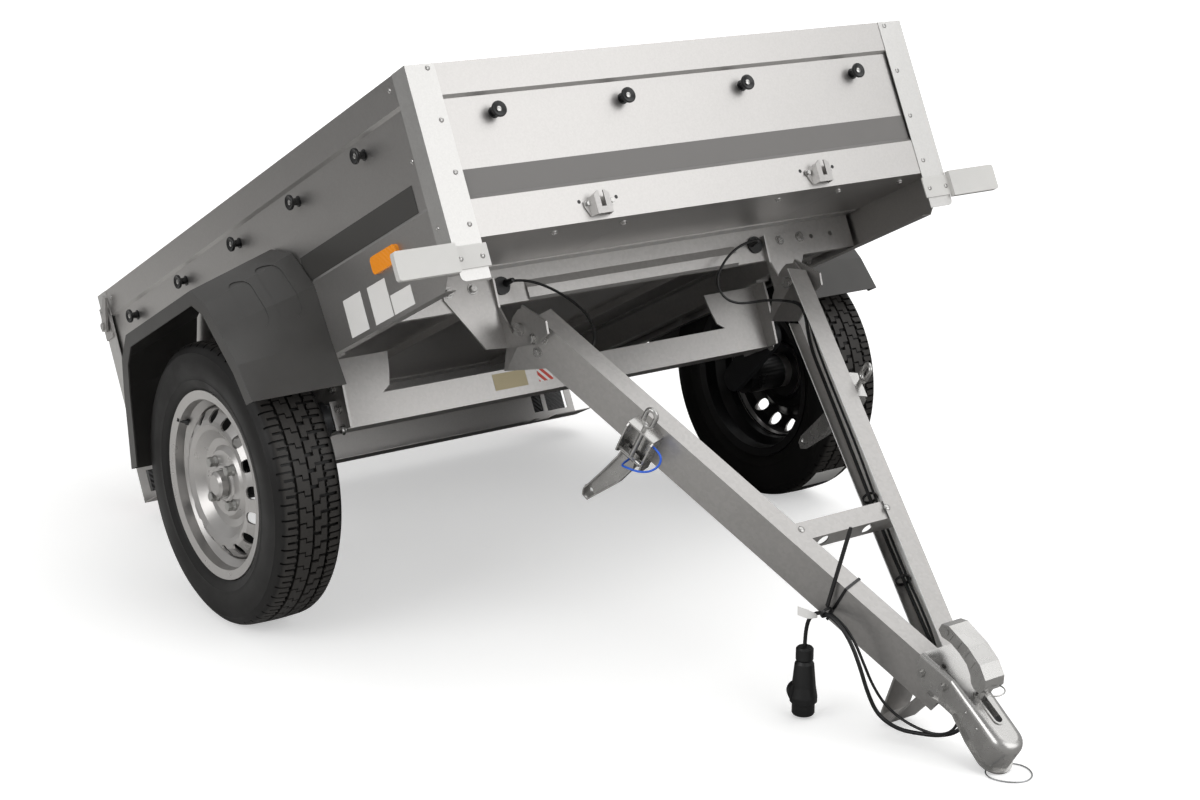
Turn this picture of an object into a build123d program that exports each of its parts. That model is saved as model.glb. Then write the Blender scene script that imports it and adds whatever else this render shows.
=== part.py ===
from build123d import *
import math
import os

os.makedirs("parts", exist_ok=True)

# ---- driving dimensions, millimetres ----
# The box is modelled level in its own frame: X forward with 0 at the front face,
# Y left, Z up with 0 at the floor's underside. The drawbar is modelled straight in
# its own frame: X along the bar from the pivot, Z square to it. Both are then placed
# as the trailer stands: box tipped back on its wheels, coupling nose on the ground.
boxLength = 1458.0
boxWidth = 1134.0
wallHeight = 306.0
sheet = 1.5
tipAngle = 26.4
joinGap = 0.5

floorSheet = 2.0
floorSeams = [-160.0, 340.0]
seamDrop = 16.0
lipDepth = 60.0
upperCrease = 250.0
lowerCrease = 65.0
bandRecess = 5.0
bandSlope = 6.0
rimFold = 18.0
rimDrop = 12.0

sideDrop = 73.0
sideFoot = 22.0
sideUpperCrease = 252.0
sideLowerCrease = 66.5
skirtSlope = 70.0

postWidth = 58.5
postSideWidth = 46.0
postDrop = 72.0
postSkirt = 18.0
postCorner = 9.0

beamSetback = 293.6
beamHeight = 68.0
beamSheet = 2.5
beamTopFlange = 34.0
beamLowFlange = 14.0
beamInset = 10.0
beadHalf = 250.0
beadDepth = 4.6
grommetOffset = 302.0
grommetDrop = 34.0
grommetRadius = 17.0
spareHoles = [452.0, 503.0]
spareRadius = 5.0

railInset = 27.0
railHeight = 60.0
railFlange = 34.0
railSheet = 2.5
sillDepth = 52.0
sillHeight = 62.0
sillSheet = 3.0

axleSetback = 783.0
tyreTopRise = 42.8
swingReach = 153.0
axleBeamDrop = 170.0
axleBeamSize = 56.0
axleWall = 4.0
axlePlateInset = 42.4
axlePlateThick = 5.0
axlePlateFront = 70.0
axlePlateRear = 78.0
axlePlateFoot = 58.0
axlePlateLow = 29.0
axlePlateWaist = 95.0
gussetReach = 130.0
gussetThick = 4.0
swingThick = 16.0
swingGap = 6.0
swingBoss = 34.0
swingTip = 27.0

tyreRadius = 273.8
tyreWidth = 145.0
tyreClear = 23.0
rimFlangeRadius = 182.5
rimHalfWidth = 60.5
rimSeatRadius = 167.0
rimWellRadius = 152.0
rimSheet = 3.0
discFace = 38.0
discSheet = 3.5
discHole = 29.0
hubRadius = 60.0
hubBore = 15.0
hubInner = 88.0
stubRadius = 14.95
capRadius = 25.0
capHeight = 22.0
boltCircle = 49.0
boltCount = 4
boltPhase = 18.6
boltHole = 6.2
boltHeadRadius = 9.0
boltHeadHeight = 13.0
ventCount = 16
ventCircle = 130.3
ventRadius = 12.5
ventPhase = 3.4

pivotSetback = 234.5
pivotDrop = 128.2
pivotHalf = 324.3
pivotRadius = 7.95
pivotBore = 8.0
bracketThick = 4.0
bracketReach = 109.0
bracketTop = 20.0
armPlateThick = 4.0
armKnee = 6.0
pivotGap = 1.0

armTop = 49.0
armHeight = 80.0
armFlange = 40.0
armLowFlange = 26.0
armSheet = 2.5
armStart = 18.0
armNotch = 86.0
armIntoShell = 64.0
couplingHalf = 47.7

crossStation = 586.5
crossDepth = 37.0
crossHeight = 33.0
crossSheet = 3.0

ballStation = 1059.0
ballRise = 22.0
ballRadius = 25.0
shellWall = 3.5
shellBehindBall = 179.0
shellHalf = 31.5
shellTop = 56.0
shellCorner = 8.0
noseCorner = 16.0
shellFlare = 5.0
noseAhead = 39.0
noseFoot = -6.0
slotStart = -74.0
slotEnd = -23.0
slotHalf = 7.3
tongueHalf = 7.0
handleHalf = 22.0
handleWall = 3.0
strapThick = 4.0
strapHalf = 32.0

latchStation = 288.0
latchStandoff = 22.5
latchSheet = 3.0
eyeRadius = 4.5
eyeLong = 45.0
eyeWide = 30.0

tailHingeDrop = 6.0
tailHingeBack = 9.0
tailPinRadius = 3.95
tailPinBore = 4.0
tailKnuckle = 7.5
tailHingePitch = 380.0
tailGap = 6.0
gateLow = 8.0
gateLip = 16.0

guardMargin = 19.0
guardWall = 3.0
guardMouth = 26.0
guardPocket = 1.5

barDrop = 162.0
barOverhang = 10.0
barSheet = 2.0
barFoot = 72.0
barTop = 16.0
lampOuter = 552.0
lampWidth = 122.0
lampDepth = 34.0

markerThick = 12.0
markerWidth = 120.0
knobPitchFront = 275.0
knobFrontCount = 4
knobHigh = 211.0
knobSideHigh = 218.0
knobFirst = 211.0
knobPitchSide = 270.0
knobStem = 7.0
knobRadius = 14.0
knobLength = 22.0
catchLift = 13.5
catchSheet = 3.0

leadRadius = 3.5
wireRadius = 2.5
tetherRadius = 2.0
safetyRadius = 1.25

# ---- sizes that follow from them ----
halfWidth = boxWidth / 2
lampInner = lampOuter - lampWidth
postInner = halfWidth - postWidth
sideIn = halfWidth - 2 * sheet
frontIn = -2 * sheet
railOffset = halfWidth - railInset
railEnd = boxLength - 2.0 - sillDepth
wheelHalf = halfWidth + tyreClear + tyreWidth / 2
guardOuter = wheelHalf + tyreWidth / 2 + guardMargin
axleDrop = tyreRadius - tyreTopRise
axleBeamSetback = axleSetback - swingReach
axlePlateOffset = halfWidth - axlePlateInset
noseStation = ballStation + noseAhead
shellStart = ballStation - shellBehindBall
tanArm = (pivotHalf - couplingHalf) / shellStart
armAngle = math.degrees(math.atan(tanArm))
cosArm = math.cos(math.radians(armAngle))
armLow = armTop - armHeight
armEnd = shellStart + armIntoShell
latchY = pivotHalf - latchStation * tanArm
catchOffset = latchY + latchStandoff * cosArm


# ---- helpers ----
def prism(points, vector):
    return Solid.extrude(Face(Wire.make_polygon([Vector(*p) for p in points])), Vector(*vector))


def alongX(points, x0, x1):
    return prism([(x0, y, z) for y, z in points], (x1 - x0, 0, 0))


def alongY(points, y0, y1):
    return prism([(x, y0, z) for x, z in points], (0, y1 - y0, 0))


def alongZ(points, z0, z1):
    return prism([(x, y, z0) for x, y in points], (0, 0, z1 - z0))


def block(x0, x1, y0, y1, z0, z1):
    return alongZ([(x0, y0), (x1, y0), (x1, y1), (x0, y1)], z0, z1)


def rod(start, end, radius):
    a = Vector(start)
    b = Vector(end)
    return Solid.make_cylinder(radius, (b - a).length, Plane(origin=a, z_dir=b - a))


def offsetLine(points, distance, closed=False):
    """The line shifted to its right, each corner on the bisector."""
    count = len(points)
    moved = []
    for i in range(count):
        before = points[i - 1] if (i or closed) else None
        after = points[(i + 1) % count] if (i < count - 1 or closed) else None
        normals = []
        for a, b in ((before, points[i]), (points[i], after)):
            if a is None or b is None:
                continue
            run = math.hypot(b[0] - a[0], b[1] - a[1])
            normals.append(((b[1] - a[1]) / run, -(b[0] - a[0]) / run))
        first = normals[0]
        last = normals[-1]
        scale = distance / (1 + first[0] * last[0] + first[1] * last[1])
        across = points[i][0] + scale * (first[0] + last[0])
        upward = points[i][1] + scale * (first[1] + last[1])
        moved.append((across, upward))
    return moved


def folded(points, thick):
    """Closed outline of a sheet folded along points, thickened to the right of the path."""
    return list(points) + offsetLine(points, thick)[::-1]


def inset(points, distance):
    """A counter-clockwise outline moved inwards."""
    return offsetLine(points, -distance, closed=True)


def single(shape):
    return shape[0] if isinstance(shape, ShapeList) else shape


def mirrored(shape):
    return single(shape).mirror(Plane.XZ)


def pair(shape):
    return [single(shape), mirrored(shape)]


def spun(points, centre):
    """Ring about the wheel's axle from (radius, y) points."""
    face = Face(Wire.make_polygon([Vector(r, y, 0) for r, y in points]))
    ring = Solid.revolve(face, 360, Axis((0, 0, 0), (0, 1, 0)))
    return ring.moved(Location(centre))


def tube(points, radius, label):
    """Cord: straight runs joined by tangent arcs, each as large as its two runs allow."""
    spots = [Vector(*p) for p in points]
    bends = []
    for i in range(1, len(spots) - 1):
        into = spots[i] - spots[i - 1]
        out = spots[i + 1] - spots[i]
        turn = math.radians(into.get_angle(out))
        bends.append(0.45 * min(into.length, out.length) / math.tan(turn / 2))
    path = FilletPolyline(*spots, radius=bends)
    section = Face(Wire.make_circle(radius, Plane(origin=spots[0], z_dir=spots[1] - spots[0])))
    cord = Solid(sweep(section, path=path).solids()[0].wrapped)
    ratio = cord.volume / (math.pi * radius**2 * path.length)
    print(label, "length", round(path.length), "least radius", round(min(bends), 1))
    print(label, "volume over area times length", round(ratio, 4))
    return cord


boxParts = {}

# ---- floor and walls ----
floorHalf = halfWidth - 2 * sheet
edges = [-floorHalf] + floorSeams + [floorHalf]
seamRear = -boxLength + 60
seamFront = -beamSetback - 90
planks = []
for i in range(len(edges) - 1):
    y0 = edges[i] + (joinGap / 2 if i else 0)
    y1 = edges[i + 1] - (joinGap / 2 if i < len(edges) - 2 else 0)
    plank = block(-boxLength + 2 * sheet, frontIn, y0, y1, 0, floorSheet)
    if i:
        plank = plank.fuse(block(seamRear, seamFront, y0, y0 + floorSheet, -seamDrop, 0))
    if i < len(edges) - 2:
        plank = plank.fuse(block(seamRear, seamFront, y1 - floorSheet, y1, -seamDrop, 0))
    planks.append(plank)
boxParts["floor"] = planks

frontPath = [
    (-lipDepth, 0),
    (frontIn, 0),
    (frontIn, lowerCrease),
    (frontIn - bandRecess, lowerCrease + bandSlope),
    (frontIn - bandRecess, upperCrease - bandSlope),
    (frontIn, upperCrease),
    (frontIn, wallHeight - sheet),
    (-rimFold, wallHeight - sheet),
    (-rimFold, wallHeight - rimDrop),
]
frontHalf = sideIn - bandRecess - joinGap
foldHalf = sideIn - rimFold - sheet - joinGap
lipHalf = railOffset - railFlange - joinGap
frontSheet = alongY(folded(frontPath, sheet), -frontHalf, frontHalf)
for side in (-1, 1):
    foldEdge = sorted([side * foldHalf, side * (frontHalf + 1)])
    foldLow = wallHeight - rimDrop - 1
    foldCut = block(-rimFold - 2, frontIn, foldEdge[0], foldEdge[1], foldLow, wallHeight + 1)
    lipEdge = sorted([side * lipHalf, side * (frontHalf + 1)])
    lipCut = block(-lipDepth - 1, frontIn - 8, lipEdge[0], lipEdge[1], -2 * sheet, sheet / 4)
    frontSheet = frontSheet.cut(foldCut).cut(lipCut)
boxParts["front_panel"] = [frontSheet]

sidePath = [
    (sideIn - sideFoot, -sideDrop + sheet),
    (sideIn, -sideDrop + sheet),
    (sideIn, sideLowerCrease),
    (sideIn - bandRecess, sideLowerCrease + bandSlope),
    (sideIn - bandRecess, sideUpperCrease - bandSlope),
    (sideIn, sideUpperCrease),
    (sideIn, wallHeight - sheet),
    (sideIn - rimFold, wallHeight - sheet),
    (sideIn - rimFold, wallHeight - rimDrop),
]
sideFront = frontIn - bandRecess - joinGap
sideRear = -boxLength + barSheet + joinGap
sideSheet = alongX(folded(sidePath, sheet), sideRear, sideFront)
skirtCut = [(1, -sideDrop - 5), (1, -postSkirt), (sideFront, -postSkirt), (-skirtSlope, -sideDrop - 5)]
sideSheet = sideSheet.cut(alongY(skirtCut, 0, halfWidth + 10))
boxParts["side_panel_left"] = [sideSheet]
boxParts["side_panel_right"] = [mirrored(sideSheet)]

postPath = [(-sheet, postInner), (-sheet, halfWidth - sheet), (-postSideWidth, halfWidth - sheet)]
postFront = alongZ(folded(postPath, sheet), -postDrop, wallHeight)
postFront = postFront.cut(
    block(-postSideWidth - 1, -sheet, halfWidth - 2 * sheet, halfWidth + 1, -postDrop - 1, -postSkirt)
)
lowCorner = [
    (halfWidth + 1, -postDrop - 1),
    (halfWidth + 1, -postDrop + postCorner),
    (halfWidth, -postDrop + postCorner),
    (halfWidth - postCorner * 0.3, -postDrop + postCorner * 0.3),
    (halfWidth - postCorner, -postDrop),
    (halfWidth - postCorner, -postDrop - 1),
]
postFront = postFront.cut(alongX(lowCorner, -sheet - 1, 1))
rearPostPath = [
    (-boxLength + sheet, postInner),
    (-boxLength + sheet, halfWidth - sheet),
    (-boxLength + postSideWidth, halfWidth - sheet),
]
postRear = alongZ(folded(rearPostPath, -sheet), -postSkirt + 4, wallHeight)
boxParts["corner_posts"] = pair(postFront) + pair(postRear)

# ---- frame under the floor ----
beamHalf = halfWidth - beamInset
beamPath = [
    (-beamSetback + beamTopFlange, -beamSheet),
    (-beamSetback, -beamSheet),
    (-beamSetback, -beamHeight),
    (-beamSetback - beamLowFlange, -beamHeight),
]
beadPoints = [
    (-beamSetback, -beamHeight * 0.44),
    (-beamSetback, -beamHeight),
    (-beamSetback + beadDepth, -beamHeight + 4),
    (-beamSetback + beadDepth, -beamHeight * 0.66),
]
frontBeam = alongY(folded(beamPath, beamSheet), -beamHalf, beamHalf)
frontBeam = frontBeam.fuse(alongY(beadPoints, -beadHalf, beadHalf))
for side in (-1, 1):
    for offset in spareHoles:
        y = side * offset
        hole = rod((-beamSetback - 5, y, -grommetDrop), (-beamSetback + 5, y, -grommetDrop), spareRadius)
        frontBeam = frontBeam.cut(hole)
boxParts["front_beam"] = [frontBeam]
grommetBack = (-beamSetback, grommetOffset, -grommetDrop)
grommetFront = (-beamSetback + 5, grommetOffset, -grommetDrop)
grommet = rod(grommetBack, grommetFront, grommetRadius)
boxParts["beam_grommets"] = pair(grommet)

railFront = -beamSetback - beamSheet
railPath = [
    (railOffset - railFlange, -railSheet),
    (railOffset - railSheet, -railSheet),
    (railOffset - railSheet, railSheet - railHeight),
    (railOffset - railFlange, railSheet - railHeight),
]
rail = alongX(folded(railPath, -railSheet), -railEnd, railFront)
railNotch = block(
    railFront - beamLowFlange - 1, railFront + 1, railOffset - railFlange - 1, railOffset + 1,
    -beamHeight - 1, -railHeight + 4,
)
boxParts["side_rails"] = pair(rail.cut(railNotch))
sillRear = -boxLength + 2.0
sillPath = [
    (-railEnd, -sillSheet),
    (sillRear + sillSheet, -sillSheet),
    (sillRear + sillSheet, sillSheet - sillHeight),
    (-railEnd, sillSheet - sillHeight),
]
boxParts["rear_sill"] = [alongY(folded(sillPath, sillSheet), -railOffset, railOffset)]

# ---- axle ----
beamX = -axleBeamSetback
beamZ = -axleBeamDrop
axleX = -axleSetback
axleZ = -axleDrop
outerHalf = axleBeamSize / 2
boreHalf = outerHalf - axleWall
beamEnd = axlePlateOffset + 14
lowZ = beamZ - outerHalf
highZ = beamZ + outerHalf
squareOuter = block(beamX - outerHalf, beamX + outerHalf, -beamEnd, beamEnd, lowZ, highZ)
squareBore = block(
    beamX - boreHalf, beamX + boreHalf, -beamEnd - 1, beamEnd + 1, beamZ - boreHalf, beamZ + boreHalf
)
boxParts["axle_beam"] = [squareOuter.cut(squareBore)]
plateIn = axlePlateOffset - axlePlateThick
platePoints = [
    (beamX + axlePlateFront, -railHeight),
    (beamX + axlePlateFront, -axlePlateWaist),
    (beamX + axlePlateFoot, beamZ - axlePlateLow),
    (beamX - axlePlateFoot, beamZ - axlePlateLow),
    (beamX - axlePlateRear, -axlePlateWaist),
    (beamX - axlePlateRear, -railHeight),
]
axlePlate = alongY(platePoints, plateIn, axlePlateOffset).cut(squareOuter)
axleFoot = block(
    beamX - axlePlateRear, beamX + axlePlateFront, axlePlateOffset - 22, axlePlateOffset + 12,
    -railHeight - 5, -railHeight,
)
gussetPoints = [
    (plateIn, -railHeight - 5),
    (plateIn - gussetReach, -railHeight - 5),
    (plateIn - gussetReach + 6, -railHeight - 40),
    (plateIn - gussetReach + 14, -railHeight - 70),
    (plateIn - gussetReach + 32, beamZ + outerHalf),
    (plateIn, beamZ + outerHalf),
]
gusset = alongX(gussetPoints, beamX + outerHalf - gussetThick, beamX + outerHalf)
boxParts["axle_plates"] = pair(axlePlate.fuse(axleFoot).fuse(gusset))

boreBack = beamX - boreHalf
boreFront = beamX + boreHalf
boreLow = beamZ - boreHalf
boreTop = beamZ + boreHalf
core = block(boreBack, boreFront, 470, axlePlateOffset + 22, boreLow, boreTop)
swingIn = beamEnd + swingGap
swingOut = swingIn + swingThick
lineX = axleX - beamX
lineZ = axleZ - beamZ
swingLong = math.hypot(lineX, lineZ)
acrossX = -lineZ / swingLong
acrossZ = lineX / swingLong
waist = [
    (beamX - acrossX * swingBoss, beamZ - acrossZ * swingBoss),
    (axleX - acrossX * swingTip, axleZ - acrossZ * swingTip),
    (axleX + acrossX * swingTip, axleZ + acrossZ * swingTip),
    (beamX + acrossX * swingBoss, beamZ + acrossZ * swingBoss),
]
swing = alongY(waist, swingIn, swingOut)
swing = swing.fuse(rod((beamX, swingIn, beamZ), (beamX, swingOut, beamZ), swingBoss))
swing = swing.fuse(rod((axleX, swingIn, axleZ), (axleX, swingOut, axleZ), swingTip))
stubEnd = wheelHalf + discFace + capHeight - 6
swing = swing.fuse(rod((axleX, swingOut - 2, axleZ), (axleX, stubEnd, axleZ), stubRadius))
neck = block(boreBack, boreFront, axlePlateOffset, swingIn + 2, boreLow, boreTop)
boxParts["swing_arms"] = pair(swing.fuse(core.fuse(neck)))

# ---- mudguards: outlines about the wheel's centre ----
# columns: angle from straight ahead in degrees, clearance outside the tyre in millimetres
guardInner = [
    (17.2, 53.9), (31.7, 77.8), (45.1, 137.0), (57.3, 164.8), (68.1, 156.1),
    (110.2, 151.4), (121.0, 156.7), (133.4, 126.6), (146.8, 64.3), (161.9, 38.7),
]
guardLip = [
    (17.7, 46.3), (31.1, 56.8), (45.1, 73.6), (54.4, 98.8), (63.4, 107.5),
    (114.4, 100.7), (123.6, 89.9), (132.9, 61.9), (146.4, 34.9), (161.3, 28.2),
]


def guardLine(table):
    line = []
    for angle, clearance in table:
        radius = tyreRadius + clearance
        turn = math.radians(angle)
        line.append((axleX + radius * math.cos(turn), axleZ + radius * math.sin(turn)))
    return line


def dropEnds(points, drop):
    return [(points[0][0], points[0][1] - drop)] + list(points) + [(points[-1][0], points[-1][1] - drop)]


def bridge(pointsA, yA, pointsB, yB):
    wireA = Wire.make_polygon([Vector(x, yA, z) for x, z in pointsA], close=True)
    wireB = Wire.make_polygon([Vector(x, yB, z) for x, z in pointsB], close=True)
    return Solid.make_loft([wireA, wireB], True)


guardFace = halfWidth - sheet
innerLine = guardLine(guardInner)
lipLine = guardLine(guardLip)
guardSkin = bridge(innerLine, guardFace, lipLine, guardOuter)
hollow = bridge(
    dropEnds(offsetLine(innerLine, -guardWall), 8), guardFace - 0.01,
    dropEnds(offsetLine(lipLine, -guardWall), 8), guardOuter - guardWall,
)
pocketFloor = bridge(
    dropEnds(offsetLine(innerLine, -guardPocket), 8), guardFace - 0.01,
    dropEnds(offsetLine(lipLine, -guardPocket), 8), guardOuter,
)
mouth = alongY(dropEnds(offsetLine(lipLine, -guardMouth), 30), guardOuter - 20, guardOuter + 10)
guard = guardSkin.cut(hollow).cut(mouth)
# columns: offset from the guard's outer face, half width, lower and upper end above the floor
for offset, half, low, high in ((72.0, 19.0, 20.0, 86.0), (132.0, 22.0, 28.0, 104.0)):
    y = guardOuter - offset
    slot = block(axleX + 150, axleX + 340, y - half, y + half, low, high)
    slot = slot.fuse(rod((axleX + 150, y, low), (axleX + 340, y, low), half))
    slot = slot.fuse(rod((axleX + 150, y, high), (axleX + 340, y, high), half))
    guard = guard.cut(single(slot.intersect(guardSkin)).cut(pocketFloor))
boxParts["mudguard_left"] = [guard]
boxParts["mudguard_right"] = [mirrored(guard)]

# ---- rear light bar and lamps ----
barHalf = halfWidth + barOverhang
barPath = [
    (-boxLength + barSheet, -barTop),
    (-boxLength + barSheet, -barDrop + barSheet),
    (-boxLength + barFoot, -barDrop + barSheet),
]
lightBar = alongY(folded(barPath, barSheet), -barHalf, barHalf)
# columns: inner and outer edge from the middle, lower and upper edge
for side in (-1, 1):
    for inner, outer, low, high in ((461.0, 488.0, -138.0, -92.0), (500.0, 558.0, -140.0, -92.0)):
        edge = sorted([side * inner, side * outer])
        opening = block(-boxLength - 1, -boxLength + barSheet + 1, edge[0], edge[1], low, high)
        lightBar = lightBar.cut(opening)
    # columns: inner and outer edge from the middle, depth from the bar's back
    for inner, outer, deep in ((392.0, 412.0, 26.0), (425.0, 474.0, 34.0)):
        edge = sorted([side * inner, side * outer])
        footCut = block(
            -boxLength + barFoot - deep, -boxLength + barFoot + 1, edge[0], edge[1],
            -barDrop - 1, -barDrop + barSheet + 1,
        )
        lightBar = lightBar.cut(footCut)
boxParts["light_bar"] = [lightBar]
lamp = block(-boxLength - lampDepth, -boxLength, lampInner, lampOuter, -148, -78)
lampLens = lamp.edges().filter_by(Axis.Y).group_by(Axis.X)[0]
boxParts["tail_lamps"] = pair(lamp.fillet(8, lampLens))

# ---- front marker lamps ----
marker = block(0, markerThick, halfWidth + 1, halfWidth + 1 + markerWidth, -57, -7)
markerEdges = marker.edges().filter_by(Axis.X).group_by(Axis.Y)[-1]
marker = marker.fillet(6, markerEdges)
markerArm = block(0, 3, halfWidth - 64, halfWidth + 1, -52, -12)
boxParts["front_markers"] = pair(marker.fuse(markerArm))

# ---- side reflectors and cover knobs ----
reflector = block(-265, -170, halfWidth - sheet, halfWidth + 5.5, 15, 47)
boxParts["side_reflectors"] = pair(reflector.fillet(9, reflector.edges().filter_by(Axis.Y)))


def knobAt(start, along):
    a = Vector(*start)
    out = Vector(*along)
    neckEnd = a + out * (knobLength - 7)
    capEnd = a + out * knobLength
    return rod(a, neckEnd, knobStem).fuse(rod(neckEnd, capEnd, knobRadius))


knobs = []
for i in range(knobFrontCount):
    knobY = (i - (knobFrontCount - 1) / 2) * knobPitchFront
    knobs.append(knobAt((frontIn - bandRecess + sheet, knobY, knobHigh), (1, 0, 0)))
knobSideCount = int((boxLength - knobFirst - 86) // knobPitchSide) + 1
for i in range(knobSideCount):
    knobX = -knobFirst - i * knobPitchSide
    knobs += pair(knobAt((knobX, sideIn - bandRecess + sheet, knobSideHigh), (0, 1, 0)))
boxParts["tarp_knobs"] = knobs

# ---- catches on the front panel: hat-shaped plates with a crown outline ----
catchBack = frontIn + sheet
hatPath = [
    (catchBack, -33), (catchBack, -19), (catchLift, -14),
    (catchLift, 14), (catchBack, 19), (catchBack, 33),
]
hat = alongZ(folded(hatPath, catchSheet), 0, 60)
crown = [
    (-22, 6), (22, 6), (31, 24), (31, 33), (20, 38), (8, 47), (5, 47), (5, 18),
    (-5, 18), (-5, 47), (-8, 47), (-20, 38), (-31, 33), (-31, 24),
]
catch = single(hat.intersect(alongX(crown, -20, 40))).moved(Location((0, catchOffset, 0)))
boxParts["catches"] = pair(catch)

# ---- hinge brackets and pivot bolts ----
hingeX = -pivotSetback
hingeZ = -pivotDrop
plateFace = pivotHalf - armKnee * tanArm - armSheet / cosArm
earIn = plateFace + pivotGap
earOut = earIn + bracketThick
beamX0 = -beamSetback
ear = alongY(
    [
        (beamX0, -bracketTop), (beamX0, hingeZ - 21), (hingeX + 45, hingeZ - 39), (hingeX + 80, hingeZ - 30),
        (hingeX + 84, hingeZ - 7), (hingeX + 24, hingeZ + 38), (hingeX - 28, hingeZ - 2),
        (hingeX - 50, hingeZ + 54), (beamX0 + 14, -bracketTop),
    ],
    earIn, earOut,
)
flange = alongX(
    [
        (earIn, -bracketTop), (earIn + bracketReach, -bracketTop), (earIn + bracketReach, -bracketTop - 25),
        (earIn + 49, hingeZ - 17), (earIn, hingeZ - 21),
    ],
    beamX0, beamX0 + bracketThick,
)
bracket = ear.fuse(flange).cut(rod((hingeX, earIn - 1, hingeZ), (hingeX, earOut + 1, hingeZ), pivotRadius))
boxParts["hinge_brackets"] = pair(bracket)
boltInner = plateFace - armPlateThick - 14
bolt = rod((hingeX, boltInner, hingeZ), (hingeX, earOut, hingeZ), pivotRadius)
boltHead = rod((hingeX, earOut, hingeZ), (hingeX, earOut + 7, hingeZ), 12)
boltNut = rod((hingeX, boltInner, hingeZ), (hingeX, boltInner + 8, hingeZ), 11)
boxParts["pivot_bolts"] = pair(bolt.fuse(boltHead).fuse(boltNut))

# ---- tailgate ----
gateAxisX = -boxLength - tailHingeBack
gateAxisZ = -tailHingeDrop
gateHalf = postInner - tailGap
gatePath = [
    (-boxLength + gateLip, gateLow),
    (-boxLength, gateLow),
    (-boxLength, wallHeight),
    (-boxLength + gateLip, wallHeight),
]
gateParts = {"tailgate_panel": [alongY(folded(gatePath, sheet), -gateHalf, gateHalf)]}
gateKnuckles = []
boxKnuckles = []
for knuckleY in (-tailHingePitch, 0.0, tailHingePitch):
    y0 = knuckleY - 18
    y1 = knuckleY + 18
    knuckle = block(-boxLength - 3, -boxLength, y0, y1, gateLow + 1, gateLow + 34)
    knuckle = knuckle.fuse(block(gateAxisX - 2, -boxLength, y0, y1, gateLow - 2, gateLow + 4))
    knuckle = knuckle.fuse(block(gateAxisX - 2, gateAxisX + 2, y0, y1, gateAxisZ, gateLow + 4))
    knuckle = knuckle.fuse(rod((gateAxisX, y0, gateAxisZ), (gateAxisX, y1, gateAxisZ), tailKnuckle))
    pinHole = rod((gateAxisX, y0 - 2, gateAxisZ), (gateAxisX, y1 + 2, gateAxisZ), tailPinBore)
    gateKnuckles.append(knuckle.cut(pinHole))
    pin = rod((gateAxisX, y0 - 22, gateAxisZ), (gateAxisX, y1 + 22, gateAxisZ), tailPinRadius)
    for e0, e1 in ((y0 - 18, y0 - 1), (y1 + 1, y1 + 18)):
        pin = pin.fuse(rod((gateAxisX, e0, gateAxisZ), (gateAxisX, e1, gateAxisZ), tailKnuckle))
        pin = pin.fuse(block(gateAxisX, sillRear, e0, e1, gateAxisZ - 7, gateAxisZ - 2))
    boxKnuckles.append(pin)
gateParts["tailgate_hinges"] = gateKnuckles
boxParts["sill_hinges"] = boxKnuckles

latchBase = alongY(
    [
        (-boxLength - 2, 204), (-boxLength + 34, 204), (-boxLength + 40, 214), (-boxLength + 40, 262),
        (-boxLength + 30, 276), (-boxLength - 2, 276),
    ],
    halfWidth, halfWidth + 3,
)
latchArm = alongY(
    [
        (-boxLength + 4, 226), (-boxLength + 28, 218), (-boxLength + 44, 250), (-boxLength + 66, 286),
        (-boxLength + 56, 294), (-boxLength + 26, 262),
    ],
    halfWidth + 7, halfWidth + 12,
)
latchBoss = rod((-boxLength + 18, halfWidth, 234), (-boxLength + 18, halfWidth + 15, 234), 8)
boxParts["tailgate_latches"] = pair(latchBase.fuse(latchArm).fuse(latchBoss))

# ---- drawbar arms ----
barParts = {}
alongArm = Location((0, pivotHalf, 0), (0, 0, -armAngle))
armPath = [
    (-armFlange, armTop - armSheet),
    (-armSheet, armTop - armSheet),
    (-armSheet, armLow + armSheet),
    (-armLowFlange, armLow + armSheet),
]
arm = alongX(folded(armPath, -armSheet), armStart / cosArm, armEnd / cosArm)
arm = arm.cut(block(0, armNotch / cosArm, -armLowFlange - 1, -armSheet, armLow - 1, armLow + armSheet + 1))
arm = arm.moved(alongArm).cut(block(armEnd / 2, armEnd + 60, -100, joinGap / 2, armLow - 10, armTop + 10))
barParts["arm_left"] = [arm]
barParts["arm_right"] = [mirrored(arm)]
plateLine = [
    (-34, plateFace),
    (armKnee, plateFace),
    (armKnee + 76, plateFace - 76 * tanArm),
]
tab = [
    (-34, 0), (-34, -10), (-22, -60), (0, -110), (48, -60), (80, armLow + 5),
    (80, armTop - 9), (-12, armTop - 9), (-30, 20),
]
endPlate = alongZ(folded(plateLine, armPlateThick), -120, 60)
endPlate = single(endPlate.intersect(alongY(tab, 200, 400)))
endPlate = endPlate.cut(rod((0, 200, 0), (0, 400, 0), pivotBore))
barParts["arm_plates"] = pair(endPlate)


def armWeb(s):
    """Distance from the middle to the inner face of an arm's web."""
    return pivotHalf - s * tanArm - armSheet / cosArm


crossTop = armTop - armSheet - crossSheet
crossFront = crossStation + crossDepth / 2
crossRear = crossStation - crossDepth / 2
crossPath = [
    (crossFront, crossTop - crossHeight),
    (crossFront, crossTop),
    (crossRear, crossTop),
    (crossRear, crossTop - crossHeight),
]
crossBar = alongY(folded(crossPath, -crossSheet), -pivotHalf, pivotHalf)
sA = crossStation - 60
sB = crossStation + 60
between = [(sA, armWeb(sA)), (sA, -armWeb(sA)), (sB, -armWeb(sB)), (sB, armWeb(sB))]
crossBar = single(crossBar.intersect(alongZ(between, -80, armTop - armSheet)))
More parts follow.
